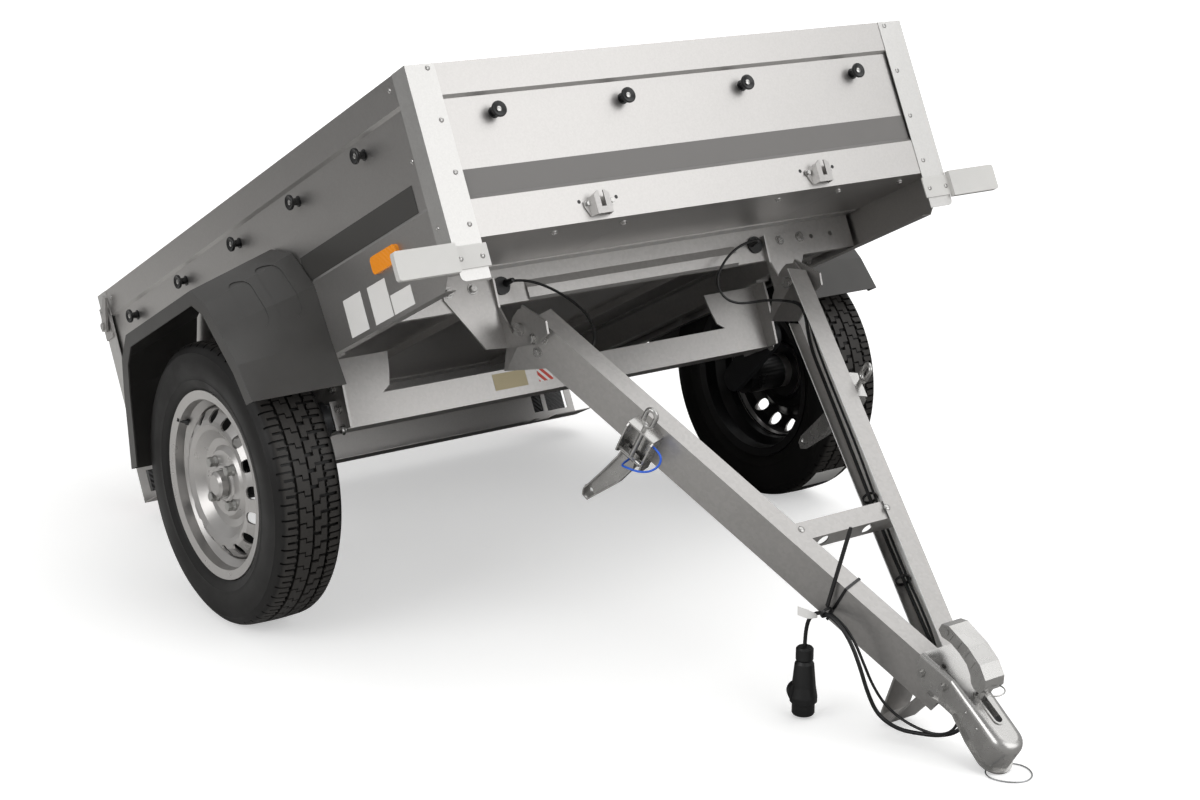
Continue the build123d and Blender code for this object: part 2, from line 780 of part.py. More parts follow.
# columns: radius, distance from the middle of the holes in the front flange
for radius, y in ((12.0, 52.0), (12.0, -52.0)):
    holeHeight = crossTop - 17
    crossBar = crossBar.cut(rod((crossStation, y, holeHeight), (crossFront + 10, y, holeHeight), radius))
barParts["drawbar_crossmember"] = [crossBar]

# ---- coupling: a pressed channel lofted between three sections, closed by a spun nose ----
shellRear = couplingHalf + shellWall + joinGap
shellWaist = (pivotHalf + shellWall + joinGap - shellHalf) / tanArm
noseCentre = noseStation - shellHalf
rimLow = noseFoot


def arch(station, half, low, top, corner):
    """Closed section of the pressed channel at one station: straight sides, rounded shoulders."""
    k = corner * (1 - math.sqrt(0.5))
    edgesOfArch = [
        Edge.make_line(Vector(station, half, low), Vector(station, half, top - corner)),
        Edge.make_three_point_arc(
            Vector(station, half, top - corner),
            Vector(station, half - k, top - k),
            Vector(station, half - corner, top),
        ),
        Edge.make_line(Vector(station, half - corner, top), Vector(station, corner - half, top)),
        Edge.make_three_point_arc(
            Vector(station, corner - half, top),
            Vector(station, k - half, top - k),
            Vector(station, -half, top - corner),
        ),
        Edge.make_line(Vector(station, -half, top - corner), Vector(station, -half, low)),
        Edge.make_line(Vector(station, -half, low), Vector(station, half, low)),
    ]
    return Wire(edgesOfArch)


def noseOf(half, low, top, corner):
    """Dome that closes the channel's front, turned about an upright axis."""
    k = corner * (1 - math.sqrt(0.5))
    outline = Wire([
        Edge.make_line(Vector(noseCentre, 0, low), Vector(noseCentre, half, low)),
        Edge.make_line(Vector(noseCentre, half, low), Vector(noseCentre, half, top - corner)),
        Edge.make_three_point_arc(
            Vector(noseCentre, half, top - corner), Vector(noseCentre, half - k, top - k),
            Vector(noseCentre, half - corner, top)
        ),
        Edge.make_line(Vector(noseCentre, half - corner, top), Vector(noseCentre, 0, top)),
        Edge.make_line(Vector(noseCentre, 0, top), Vector(noseCentre, 0, low)),
    ])
    return Solid.revolve(Face(outline), 360, Axis((noseCentre, 0, 0), (0, 0, 1)))


def pressed(wall, rear, low):
    """The channel and its nose, inside a wall of that thickness."""
    corner = shellCorner - wall
    blunt = noseCorner - wall
    top = shellTop - wall
    half = shellHalf - wall
    back = Solid.make_loft(
        [
            arch(rear, shellRear - wall + (shellStart - rear) * tanArm, low, top, corner),
            arch(shellWaist, half, low, top, corner),
        ],
        True,
    )
    waistArch = arch(shellWaist, half, low, top, corner)
    noseArch = arch(noseCentre, half, low, top, blunt)
    front = Solid.make_loft([waistArch, noseArch], True)
    return back.fuse(front).fuse(noseOf(half, low, top, blunt))


shell = pressed(0.0, shellStart, rimLow).cut(pressed(shellWall, shellStart - 10, rimLow - 10))
# lower edge of the sides, from the slanted rear edge to the nose: station from the ball, height
rimLine = [
    (-179, 60), (-175, 30), (-154, 8), (-134, -2), (-122, -3),
    (-99, 6), (-76, 12), (-29, -1), (16, -6), (60, -6),
]
rimPoints = [(ballStation + s, h) for s, h in rimLine]
underside = [(shellStart - 20, 60)] + rimPoints + [(noseStation + 40, -40), (shellStart - 20, -40)]
shell = shell.cut(alongY(underside, -80, 80))
flareLine = rimPoints[3:]
flareStrip = alongY(folded(flareLine, -shellWall), -80, 80)
flareHalf = shellHalf + shellFlare
flareRear = shellRear - (flareLine[0][0] - shellStart) * tanArm + shellFlare
flarePlan = [
    (flareLine[0][0], flareRear), (flareLine[0][0], -flareRear),
    (shellWaist, -flareHalf), (noseCentre, -flareHalf),
    (noseCentre, flareHalf), (shellWaist, flareHalf),
]
flareArea = alongZ(flarePlan, -20, 40).fuse(
    Solid.make_cylinder(flareHalf, 60, Plane(origin=(noseCentre, 0, -20), z_dir=(0, 0, 1)))
)
flare = single(flareStrip.intersect(flareArea)).cut(pressed(shellWall, shellStart - 10, rimLow - 30))
shell = shell.fuse(flare)
slotA = ballStation + slotStart
slotB = ballStation + slotEnd
slotCut = block(slotA, slotB, -slotHalf, slotHalf, shellTop - 10, shellTop + 10)
for end in (slotA, slotB):
    slotCut = slotCut.fuse(rod((end, 0, shellTop - 10), (end, 0, shellTop + 10), slotHalf))
slotRim = block(slotA, slotB, -slotHalf - 3.5, slotHalf + 3.5, shellTop - 1, shellTop + 2)
for end in (slotA, slotB):
    slotRim = slotRim.fuse(rod((end, 0, shellTop - 1), (end, 0, shellTop + 2), slotHalf + 3.5))
dent = rod((noseStation - 2, 0, 8), (noseStation + 10, 0, 11), 11)
bossHole = rod((ballStation - 142, -28, shellTop - 10), (ballStation - 142, -28, shellTop + 5), 4.5)
bossRing = rod((ballStation - 142, -28, shellTop - 1), (ballStation - 142, -28, shellTop + 1.5), 8)
shell = single(shell.fuse(slotRim).fuse(bossRing)).cut(slotCut).cut(bossHole)
shell = shell.cut(dent)
barParts["coupling_shell"] = [shell]

socketBlock = block(ballStation - 30, ballStation + 26, -60, 60, rimLow + 4, shellTop - shellWall)
socketBlock = single(socketBlock.intersect(pressed(shellWall, shellStart - 10, rimLow - 10)))
ballCut = Solid.make_sphere(ballRadius).moved(Location((ballStation, 0, ballRise)))
ballCut = ballCut.fuse(rod((ballStation, 0, ballRise), (ballStation, 0, ballRise - 60), ballRadius))
barParts["ball_socket"] = [socketBlock.cut(ballCut)]

# coupling handle: a channel open below, with ribs pressed in its sides and a tongue into the slot
# outline from the ball: station, height
handleOutline = [
    (-77, 75), (-65, 80), (-62, 94), (-70, 108), (-94, 119), (-130, 122), (-180, 116), (-193, 106),
    (-192, 92), (-180, 88), (-160, 96), (-136, 98), (-114, 96), (-98, 88), (-88, 78),
]
handlePoints = [(ballStation + s, h) for s, h in handleOutline][::-1]
handleOuter = alongY(handlePoints, -handleHalf, handleHalf)
handleInner = alongY(inset(handlePoints[::-1], handleWall), handleWall - handleHalf, handleHalf - handleWall)
halfwayDown = handleInner.moved(Location((0, 0, -6)))
lowest = handleInner.moved(Location((0, 0, -12)))
handleInner = handleInner.fuse(halfwayDown).fuse(lowest)
handle = handleOuter.cut(handleInner)
# columns: station of a rib from the ball, its lower and upper end
ribRows = ((-166.0, 98.0, 112.0), (-146.0, 101.0, 116.0), (-126.0, 101.0, 117.0), (-106.0, 97.0, 116.0))
for station, low, high in ribRows:
    for side in (-1, 1):
        face = sorted([side * (handleHalf - 1), side * (handleHalf + 1.6)])
        s = ballStation + station
        handle = handle.fuse(block(s - 2.5, s + 2.5, face[0], face[1], low, high))
bossStation = ballStation - 180
handle = handle.fuse(rod((bossStation, -handleHalf - 2, 102), (bossStation, handleHalf + 2, 102), 8))
tongue = block(ballStation - 74, ballStation - 64, -tongueHalf, tongueHalf, shellTop - 8, 84)
handle = handle.fuse(tongue)
barParts["coupling_handle"] = [single(handle)]

couplingBolts = []
# columns: station behind the ball, height
for behind, high in ((159.0, 22.0), (119.0, 30.0)):
    s = ballStation - behind
    reach = pivotHalf - s * tanArm + shellWall + joinGap + 6
    couplingBolts.append(rod((s, reach, high), (s, -reach, high), 6))
barParts["coupling_bolts"] = couplingBolts
for one in couplingBolts:
    for name in ("arm_left", "arm_right", "coupling_shell"):
        barParts[name] = [single(barParts[name][0]).cut(one)]
strapLine = [
    (shellStart - 31, armLow - 1), (shellStart - 8, -135),
    (shellStart + 15, -132), (shellStart + 34, armLow - 1),
]
strap = alongY(folded(strapLine, -strapThick), -strapHalf, strapHalf)
for s0, s1 in ((shellStart - 46, shellStart - 27), (shellStart + 26, shellStart + 44)):
    strap = strap.fuse(block(s0, s1, -strapHalf, strapHalf, armLow - strapThick, armLow))
strapTop = block(shellStart - 60, shellStart + 60, -strapHalf - 1, strapHalf + 1, armLow, armLow + 20)
strap = strap.cut(strapTop)
barParts["rest_strap"] = [strap]

# ---- toggle latches on the arms, in a frame along the arm with Y out from its web ----
latchPlace = Location((latchStation, latchY, 0), (0, 0, -armAngle))
latchU = folded([(-22, 32), (-22, 0), (38, 0), (38, 32)], -latchSheet)
latchEars = [(0, -46), (18, -46), (30, -38), (32, -8), (32, 26), (24, 35), (0, 35)]
latchFrame = single(alongZ(latchU, -50, 40).intersect(alongX(latchEars, -40, 60)))
latchFrame = latchFrame.fuse(block(-22, 38, 0, 30, 32, 35))
leverPin = rod((-22, 16, -38), (38, 16, -38), 4)
eyeHole = rod((8, latchStandoff, 28), (8, latchStandoff, 40), eyeRadius)
barParts["latch_frames"] = pair(latchFrame.cut(eyeHole).cut(leverPin).moved(latchPlace))
eyeBend = eyeWide / 2 - eyeRadius
eyeLow = armTop - 5 + eyeWide / 2
eyeHigh = eyeLow + eyeLong - eyeWide
eyeRod = rod((8, latchStandoff, -30), (8, latchStandoff, eyeLow - eyeBend), eyeRadius)
for bendZ, start in ((eyeLow, 180), (eyeHigh, 0)):
    bendPlane = Plane(origin=(8, latchStandoff, bendZ), x_dir=(1, 0, 0), z_dir=(0, -1, 0))
    eyeRod = eyeRod.fuse(Solid.make_torus(eyeBend, eyeRadius, bendPlane, 0, 360, 180).rotate(
        Axis((8, latchStandoff, bendZ), (0, -1, 0)), start
    ))
for sideX in (8 - eyeBend, 8 + eyeBend):
    eyeRod = eyeRod.fuse(rod((sideX, latchStandoff, eyeLow), (sideX, latchStandoff, eyeHigh), eyeRadius))
barParts["latch_eyes"] = pair(eyeRod.moved(latchPlace))
leverOutline = [
    (-14, -32), (-16, -52), (-28, -100), (-48, -172), (-44, -186),
    (-30, -188), (8, -106), (22, -52), (18, -32),
]
leverBody = alongY(leverOutline, 8, 22)
leverHollow = alongY(inset(leverOutline, 2.5), 10.5, 30)
lever = leverBody.cut(leverHollow).cut(rod((-36, 0, -172), (-36, 30, -172), 4))
lever = lever.fuse(rod((-18, 16, -38), (34, 16, -38), 4).fuse(leverPin))
lever = lever.fuse(rod((-12, 16, -38), (28, 16, -38), 6))
barParts["latch_levers"] = pair(single(lever).moved(latchPlace))

# ---- wheels, modelled about their own centre with the axle along Y ----
wheelParts = {}
rimPath = [
    (rimFlangeRadius, rimHalfWidth),
    (rimSeatRadius, rimHalfWidth - 3),
    (rimSeatRadius - 2, rimHalfWidth - 20),
    (rimWellRadius, rimHalfWidth - 31),
    (rimWellRadius, -12),
    (rimSeatRadius - 2, -32),
    (rimSeatRadius, -rimHalfWidth + 3),
    (rimFlangeRadius, -rimHalfWidth),
]
wheelCentre = (axleX, wheelHalf, axleZ)
rimBand = spun(folded(rimPath, rimSheet), wheelCentre)
discPath = [
    (discHole, discFace + 3),
    (discHole + 5, discFace + 3),
    (discHole + 10, discFace),
    (boltCircle + 14, discFace),
    (boltCircle + 23, discFace - 8),
    (boltCircle + 37, discFace - 4),
    (ventCircle - 26, discFace + 12),
    (ventCircle - 16, discFace + 17),
    (ventCircle - 6, discFace + 15),
    (ventCircle + 10, discFace + 2),
    (rimWellRadius - rimSheet, discFace - 16),
    (rimWellRadius - rimSheet, discFace - 30),
]
disc = spun(folded(discPath, discSheet), wheelCentre)


def aroundWheel(count, radius, phase):
    places = []
    for k in range(count):
        turn = math.radians(phase) + 2 * math.pi * k / count
        places.append((axleX + radius * math.cos(turn), axleZ + radius * math.sin(turn)))
    return places


for x, z in aroundWheel(boltCount, boltCircle, boltPhase):
    disc = disc.cut(rod((x, wheelHalf, z), (x, wheelHalf + 60, z), boltHole))
for x, z in aroundWheel(ventCount, ventCircle, ventPhase):
    disc = disc.cut(rod((x, wheelHalf, z), (x, wheelHalf + 70, z), ventRadius))
rim = rimBand.fuse(disc)
tyreHalf = tyreWidth / 2
# one side of the tyre's section: radius, distance from the middle
tyreOuter = [
    (rimSeatRadius, rimHalfWidth - 3.0),
    (rimFlangeRadius, rimHalfWidth),
    (rimFlangeRadius + 24, tyreHalf - 3),
    (rimFlangeRadius + 44, tyreHalf),
    (tyreRadius - 22, tyreHalf - 6),
    (tyreRadius - 6, tyreHalf - 15),
    (tyreRadius, tyreHalf - 30),
]
tyreInner = [
    (tyreRadius - 14, tyreHalf - 26),
    (tyreRadius - 34, tyreHalf - 13),
    (rimFlangeRadius + 24, tyreHalf - 13),
    (rimSeatRadius - 1, rimHalfWidth - 16),
]
tyrePoints = tyreOuter + [(r, -y) for r, y in tyreOuter[::-1]]
tyrePoints = tyrePoints + [(r, -y) for r, y in tyreInner[::-1]] + tyreInner
tyre = spun(tyrePoints, wheelCentre)
hubFace = discFace - discSheet
capFace = discFace + capHeight
hubPoints = [
    (hubBore, -hubInner),
    (36, -hubInner),
    (38, 28 - hubInner),
    (38, hubFace - 10),
    (hubRadius, hubFace - 10),
    (hubRadius, hubFace),
    (capRadius + 2, hubFace),
    (capRadius, hubFace + 4),
    (capRadius, capFace - 5),
    (capRadius - 6, capFace),
    (0, capFace),
    (0, capFace - 4),
    (hubBore, capFace - 4),
]
hub = spun(hubPoints, wheelCentre)
wheelBolts = []
for x, z in aroundWheel(boltCount, boltCircle, boltPhase):
    headFrom = wheelHalf + discFace
    shank = rod((x, headFrom - discSheet, z), (x, headFrom, z), boltHole - 0.2)
    head = rod((x, headFrom, z), (x, headFrom + boltHeadHeight, z), boltHeadRadius)
    wheelBolts.append(shank.fuse(head))
wheelNodes = (("tyre", [tyre]), ("rim", [rim]), ("hub", [hub]), ("wheel_bolts", wheelBolts))
for name, solids in wheelNodes:
    wheelParts[name + "_left"] = solids
    wheelParts[name + "_right"] = [mirrored(x) for x in solids]

# ---- leads, plug and cords: their points were chosen one by one ----
def onward(points, run):
    """Next point straight on past the last one."""
    last = Vector(*points[-1])
    step = (last - Vector(*points[-2])).normalized() * run
    return (last.X + step.X, last.Y + step.Y, last.Z + step.Z)


# along the far arm: station, distance in from the web, height
armCableRoute = [
    (150, 6, -14), (240, 8, -12), (335, 6, -16), (430, 9, -14), (520, 6, -20),
    (610, 8, -18), (700, 6, -18), (780, 9, -12), (855, 12, -6), (912, 17, 6),
]
armWireRoute = [
    (100, 10, 22), (150, 6, 4), (240, 9, 4), (335, 6, 0), (430, 8, 2), (520, 6, -6),
    (610, 9, -4), (700, 6, -8), (775, 12, 4), (845, 20, 12), (905, 30, 8),
]
armCablePoints = [(52, 286.2, 0.9), (75.7, 288.6, 19)]
armCablePoints += [(s, armWeb(s) - inward - leadRadius, h) for s, inward, h in armCableRoute]
armCablePoints.append((952, 8, 8))
armWirePoints = [(s, armWeb(s) - inward - wireRadius, h) for s, inward, h in armWireRoute]
armWirePoints.append((952, -6, 10))
plugCablePoints = [(952, 8, 8), onward(armCablePoints, 33)] + [
    (1000, -8, -22), (985, -24, -50), (958, -42, -72), (930, -62, -88), (895, -82, -86), (862, -96, -58),
    (830, -105, -27), (796, -112, -3), (762, -116, 6), (730, -116, -2), (706, -116, -26), (701, -116, -62),
    (725, -116, -98.5),
]
spareLoopPoints = [(952, -6, 10), onward(armWirePoints, 32)] + [
    (998, -24, -18), (984, -33, -46), (956, -44, -62), (922, -52, -76), (886, -64, -76), (854, -79, -56),
    (824, -93, -27), (793, -102, -4), (757, -107, 4), (724, -107, -8),
]
nearCablePoints = [
    (-288.6, -292, -31), (-268, -292, -31), (-250, -262, -42), (-238, -232, -64), (-220, -208, -96),
    (-198, -199, -130), (-174, -210, -166), (-156, -236, -196), (-152, -262, -211), (-154, -282.4, -218),
]
farCablePoints = [
    (-288.6, 292, -31), (-261, 292, -31), (-252, 262, -32), (-254, 220, -42), (-256, 180, -68),
    (-256, 154, -100), (-252, 158, -134), (-250, 186, -150), (-248, 220, -153), (-248, 252, -153),
    (-235.6, 283.6, -161.1), (-208, 286, -172.5),
]
# in the latch's own frame
tetherPoints = [
    (38, 20, 18), (56, 20, 18), (66, 26, 3), (60, 36, -15),
    (42, 43, -29), (18, 43, -40), (2, 34, -54), (2, 10.5, -54),
]
safetyPoints = [
    (1079, -19.5, -2.6), (1083, -26, -14.5), (1097, -34, -7.7), (1112, -32, 2.1), (1126, -22, 11.3),
    (1136, -6, 17.8), (1138, 12, 19.1), (1131, 29, 14.6),
    (1117, 41, 5.4), (1101, 44, -5.1), (1089, 37, -12.9),
    (1083, 27, -14.5), (1079, 20, -2.6),
]
barParts["arm_cable"] = [tube(armCablePoints, leadRadius, "arm cable")]
barParts["arm_wire"] = [tube(armWirePoints, wireRadius, "arm wire")]
barParts["plug_cable"] = [tube(plugCablePoints, leadRadius, "plug cable")]
barParts["spare_loop"] = [tube(spareLoopPoints, wireRadius, "spare loop")]
barParts["latch_tether"] = [mirrored(tube(tetherPoints, tetherRadius, "tether").moved(latchPlace))]
barParts["safety_cable"] = [tube(safetyPoints, safetyRadius, "safety cable")]
boxParts["near_cable"] = [tube(nearCablePoints, wireRadius, "near cable")]
boxParts["far_cable"] = [tube(farCablePoints, wireRadius, "far cable")]

plugTop = Vector(*plugCablePoints[-1])
plugDown = (plugTop - Vector(*plugCablePoints[-2])).normalized()
# plug's section from its cable end: radius, distance down
plugSection = [
    (0, 0), (13, 0), (15.5, 3), (15.5, 22), (13.5, 25), (17, 30), (21, 72), (24, 90), (24, 100), (20, 102),
    (20, 121), (18, 124), (0, 124),
]
plugFace = Face(Wire.make_polygon([Vector(r, 0, d) for r, d in plugSection]))
plugBody = Solid.revolve(plugFace, 360, Axis((0, 0, 0), (0, 0, 1)))
plugBody = plugBody.fuse(rod((-10, -8, 82), (-10, 8, 82), 19))
plugPlace = Plane(origin=plugTop, x_dir=(0.6, 0.8, 0), z_dir=plugDown).location
barParts["plug"] = [single(plugBody).moved(plugPlace)]

# tie round the near arm, with its head, a ring round the cables and a long tail
tieStation = 722.0
tieWide = 5.0
tieThick = 1.3
tieGap = 0.3
tieSection = [
    (tieGap, armTop + tieGap), (-armFlange - tieGap, armTop + tieGap),
    (-armFlange - tieGap, armLow - tieGap), (tieGap, armLow - tieGap),
]
tieA = tieStation / cosArm
tieBand = alongX(inset(tieSection, -tieThick), tieA - tieWide / 2, tieA + tieWide / 2)
tieBand = tieBand.cut(alongX(tieSection, tieA - tieWide, tieA + tieWide)).moved(alongArm)
ringY = 111.8
ringZ = -8.5
cableRing = rod((tieStation - 2.5, ringY, ringZ), (tieStation + 2.5, ringY, ringZ), 11.9)
cableRing = cableRing.cut(rod((tieStation - 9, ringY, ringZ), (tieStation + 9, ringY, ringZ), 10.6))
tieHead = block(tieStation - 2.5, tieStation + 2.5, 98.9, 103, ringZ - 5, ringZ + 6)
tieTail = alongY(
    [(tieStation - 6.5, 0), (tieStation - 1.5, 0), (tieStation - 44, 151), (tieStation - 47, 150)],
    ringY - 1, ringY - 1 + tieThick,
)
plugTie = tieBand.fuse(tieHead).fuse(cableRing).fuse(tieTail)
barParts["plug_tie"] = [mirrored(plugTie)]
cableTies = []
# columns: station, distance in from the web, height
for station, inward, high in ((520.0, 15.2, -12.6), (700.0, 15.2, -13.4)):
    band = rod((-2.5, 0, 0), (2.5, 0, 0), 13.8).cut(rod((-3, 0, 0), (3, 0, 0), 12.6))
    cableTies.append(band.moved(Location((station, armWeb(station) - inward, high), (0, 0, -armAngle))))
barParts["arm_ties"] = cableTies

# ---- placing ----
tip = math.radians(tipAngle)


def boxToGround(x, z):
    return math.cos(tip) * x - math.sin(tip) * z, math.sin(tip) * x + math.cos(tip) * z


wheelX, wheelZ = boxToGround(axleX, axleZ)
lift = tyreRadius - wheelZ
pivotX, pivotZ = boxToGround(-pivotSetback, -pivotDrop)
pivotHigh = pivotZ + lift
footStation = noseStation + shellFlare
reach = math.hypot(footStation, noseFoot)
droop = math.asin(pivotHigh / reach) + math.atan2(noseFoot, footStation)
ballX = pivotX + ballStation * math.cos(droop) + ballRise * math.sin(droop)
ballZ = pivotHigh - ballStation * math.sin(droop) + ballRise * math.cos(droop)
boxPlace = Location((-ballX, 0, lift - ballZ), (0, -tipAngle, 0))
barPlace = Location((pivotX - ballX, 0, pivotHigh - ballZ), (0, math.degrees(droop), 0))
print("droop", round(math.degrees(droop), 3), "closes by", round(tipAngle + math.degrees(droop), 3))

# ---- export ----
placed = {}
everyGroup = ((boxParts, boxPlace), (gateParts, boxPlace), (wheelParts, boxPlace), (barParts, barPlace))
for group, place in everyGroup:
    for name, solids in group.items():
        placed[name] = []
        for shape in solids:
            for piece in (shape if isinstance(shape, ShapeList) else [shape]):
                placed[name] += [body.moved(place) for body in piece.solids()]
volume = 0.0
for name, bodies in placed.items():
    nodeVolume = sum(body.volume for body in bodies)
    volume += nodeVolume
    print(name, len(bodies), round(nodeVolume / 1000, 1), "cm3")
    export_step(Compound(children=bodies), "parts/" + name + ".step")
print("solid volume", round(volume / 1e6, 2), "dm3", len(placed), "nodes")


def rowPoint(x, y, z, place):
    at = (place * Location((x, y, z))).position
    return [round(at.X / 1000, 6), round(at.Y / 1000, 6), round(at.Z / 1000, 6)]


print("AT pivot", rowPoint(-pivotSetback, 0, -pivotDrop, boxPlace))
print("AT wheel", rowPoint(axleX, wheelHalf, axleZ, boxPlace))
print("AT gate", rowPoint(gateAxisX, 0, gateAxisZ, boxPlace))
print("AT ball", rowPoint(ballStation, 0, ballRise, barPlace))
print("AT closes", round(tipAngle + math.degrees(droop), 4))
for label, x, z in (
    ("floorFront", -8, floorSheet), ("floorRear", -boxLength + 16, floorSheet),
    ("topFront", -8, wallHeight), ("topRear", -boxLength + 16, wallHeight),
):
    print("AT", label, rowPoint(x, 0, z, boxPlace))
ballAt = (barPlace * Location((ballStation, 0, ballRise))).position
ballUnder = (barPlace * Location((ballStation, 0, ballRise - 1000))).position
print("AT socketAxis", [round((u - v) / 1000, 6) for u, v in zip(ballUnder, ballAt)])
print("AT boxOrigin", rowPoint(0, 0, 0, boxPlace))
for label, points, place in (
    ("armCable", armCablePoints, barPlace), ("armWire", armWirePoints, barPlace),
    ("plugCable", plugCablePoints, barPlace), ("spareLoop", spareLoopPoints, barPlace),
    ("safetyCable", safetyPoints, barPlace), ("nearCable", nearCablePoints, boxPlace),
    ("farCable", farCablePoints, boxPlace),
):
    print("AT route", label, [[round(c, 4) for c in rowPoint(*p, place)] for p in points])
tetherSpots = [(latchPlace * Location(p)).position for p in tetherPoints]
print("AT route tether", [[round(c, 4) for c in rowPoint(p.X, -p.Y, p.Z, barPlace)] for p in tetherSpots])
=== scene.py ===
import math
import bmesh
import bpy
from mathutils import Matrix, Vector
from mathutils.bvhtree import BVHTree


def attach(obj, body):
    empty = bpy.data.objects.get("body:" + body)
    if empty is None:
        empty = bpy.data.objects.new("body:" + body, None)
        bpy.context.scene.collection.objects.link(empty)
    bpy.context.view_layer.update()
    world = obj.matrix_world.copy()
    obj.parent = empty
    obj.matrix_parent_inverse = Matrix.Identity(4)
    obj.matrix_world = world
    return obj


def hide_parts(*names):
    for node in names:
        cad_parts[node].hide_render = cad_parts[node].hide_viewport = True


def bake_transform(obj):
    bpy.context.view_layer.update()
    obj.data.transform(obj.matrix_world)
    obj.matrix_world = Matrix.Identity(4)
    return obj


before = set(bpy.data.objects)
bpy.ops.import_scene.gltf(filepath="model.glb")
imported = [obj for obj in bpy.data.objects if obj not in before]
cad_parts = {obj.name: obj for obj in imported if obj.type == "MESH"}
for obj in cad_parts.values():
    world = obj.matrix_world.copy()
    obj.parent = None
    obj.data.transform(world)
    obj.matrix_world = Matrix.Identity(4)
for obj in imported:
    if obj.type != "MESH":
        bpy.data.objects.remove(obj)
bpy.context.scene.view_settings.view_transform = "Standard"
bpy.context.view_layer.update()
print("frame loaded:", len(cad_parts), "nodes")

# where the two halves of the trailer stand, in metres and degrees
stand = {
    "boxOrigin": (-0.744662, 0.0, 0.781318),  # front face at the floor's underside
    "boxTip": 26.4,
    "barOrigin": (-0.897704, 0.0, 0.562221),  # on the hinge line
    "barDroop": 33.249,
    "wheelCentre": (-1.343293, 0.6625, 0.22626),
    "ground": -0.047541,
}
boxFrame = Matrix.Translation(stand["boxOrigin"]) @ Matrix.Rotation(-math.radians(stand["boxTip"]), 4, "Y")
barFrame = Matrix.Translation(stand["barOrigin"]) @ Matrix.Rotation(math.radians(stand["barDroop"]), 4, "Y")
sides = {"left": 1, "right": -1}

# a long lens looks down on the near front corner
shot = {
    "place": (2.33601, -2.5344, 1.55821),
    "forward": (-0.7723, 0.5716, -0.2772),
    "up": (-0.2242, 0.1631, 0.9608),
    "lens": 67.4535,
    "sensor": 36.0,
    "shift": (-0.002, 0.0005),
    "clipEnd": 200.0,
}
cameraData = bpy.data.cameras.new("camera")
cameraData.lens = shot["lens"]
cameraData.sensor_width = shot["sensor"]
cameraData.shift_x, cameraData.shift_y = shot["shift"]
cameraData.clip_end = shot["clipEnd"]
camera = bpy.data.objects.new("camera", cameraData)
bpy.context.scene.collection.objects.link(camera)
lookBack = -Vector(shot["forward"]).normalized()
lookRight = Vector(shot["up"]).cross(lookBack).normalized()
lookUp = lookBack.cross(lookRight)
cameraTurn = Matrix((lookRight, lookUp, lookBack)).transposed().to_4x4()
camera.matrix_world = Matrix.Translation(shot["place"]) @ cameraTurn
bpy.context.scene.camera = camera


def fromHex(text):
    shown = [int(text[i:i + 2], 16) / 255 for i in (0, 2, 4)]
    linear = [c / 12.92 if c <= 0.04045 else ((c + 0.055) / 1.055) ** 2.4 for c in shown]
    return (*linear, 1.0)


def addNode(tree, kind, inputs=None, **settings):
    made = tree.nodes.new(kind)
    for key, value in settings.items():
        setattr(made, key, value)
    for key, value in (inputs or {}).items():
        if isinstance(value, bpy.types.NodeSocket):
            tree.links.new(value, made.inputs[key])
        else:
            made.inputs[key].default_value = value
    return made


def startMaterial(name, hexColour, roughness, metallic=0.0, **more):
    made = bpy.data.materials.new(name)
    made.use_nodes = True
    tree = made.node_tree
    shader = tree.nodes["Principled BSDF"]
    shader.inputs["Base Color"].default_value = fromHex(hexColour)
    shader.inputs["Roughness"].default_value = roughness
    shader.inputs["Metallic"].default_value = metallic
    for key, value in more.items():
        shader.inputs[key].default_value = value
    place = addNode(tree, "ShaderNodeTexCoord").outputs["Object"]
    return made, tree, shader, place


def varySurface(tree, shader, share, shareRange, tones, roughness, height, relief):
    # share is a pattern that runs the tone and the roughness between two values each
    # height is a pattern that stands out by relief, which is a strength and a depth in millimetres
    tone = addNode(tree, "ShaderNodeMix", {0: share, 6: fromHex(tones[0]), 7: fromHex(tones[1])},
                   data_type="RGBA")
    rough = addNode(tree, "ShaderNodeMapRange", {
        0: share, 1: shareRange[0], 2: shareRange[1], 3: roughness[0], 4: roughness[1],
    })
    bump = addNode(tree, "ShaderNodeBump", {
        "Height": height, "Strength": relief[0], "Distance": relief[1] / 1000,
    })
    tree.links.new(tone.outputs[2], shader.inputs["Base Color"])
    tree.links.new(rough.outputs[0], shader.inputs["Roughness"])
    tree.links.new(bump.outputs["Normal"], shader.inputs["Normal"])


patterns = {  # sizes in millimetres
    "bloom": 111.0,  # clouds over zinc
    "smear": 33.3,  # hand marks on plated steel
    "drift": 71.4,  # tone wandering over a moulding
    "warp": 0.6,  # waves along a crystal's edge, to each crystal
    "warpDepth": 0.004,
    "noiseRange": (0.3, 0.7),  # between these a noise has most of its values
}


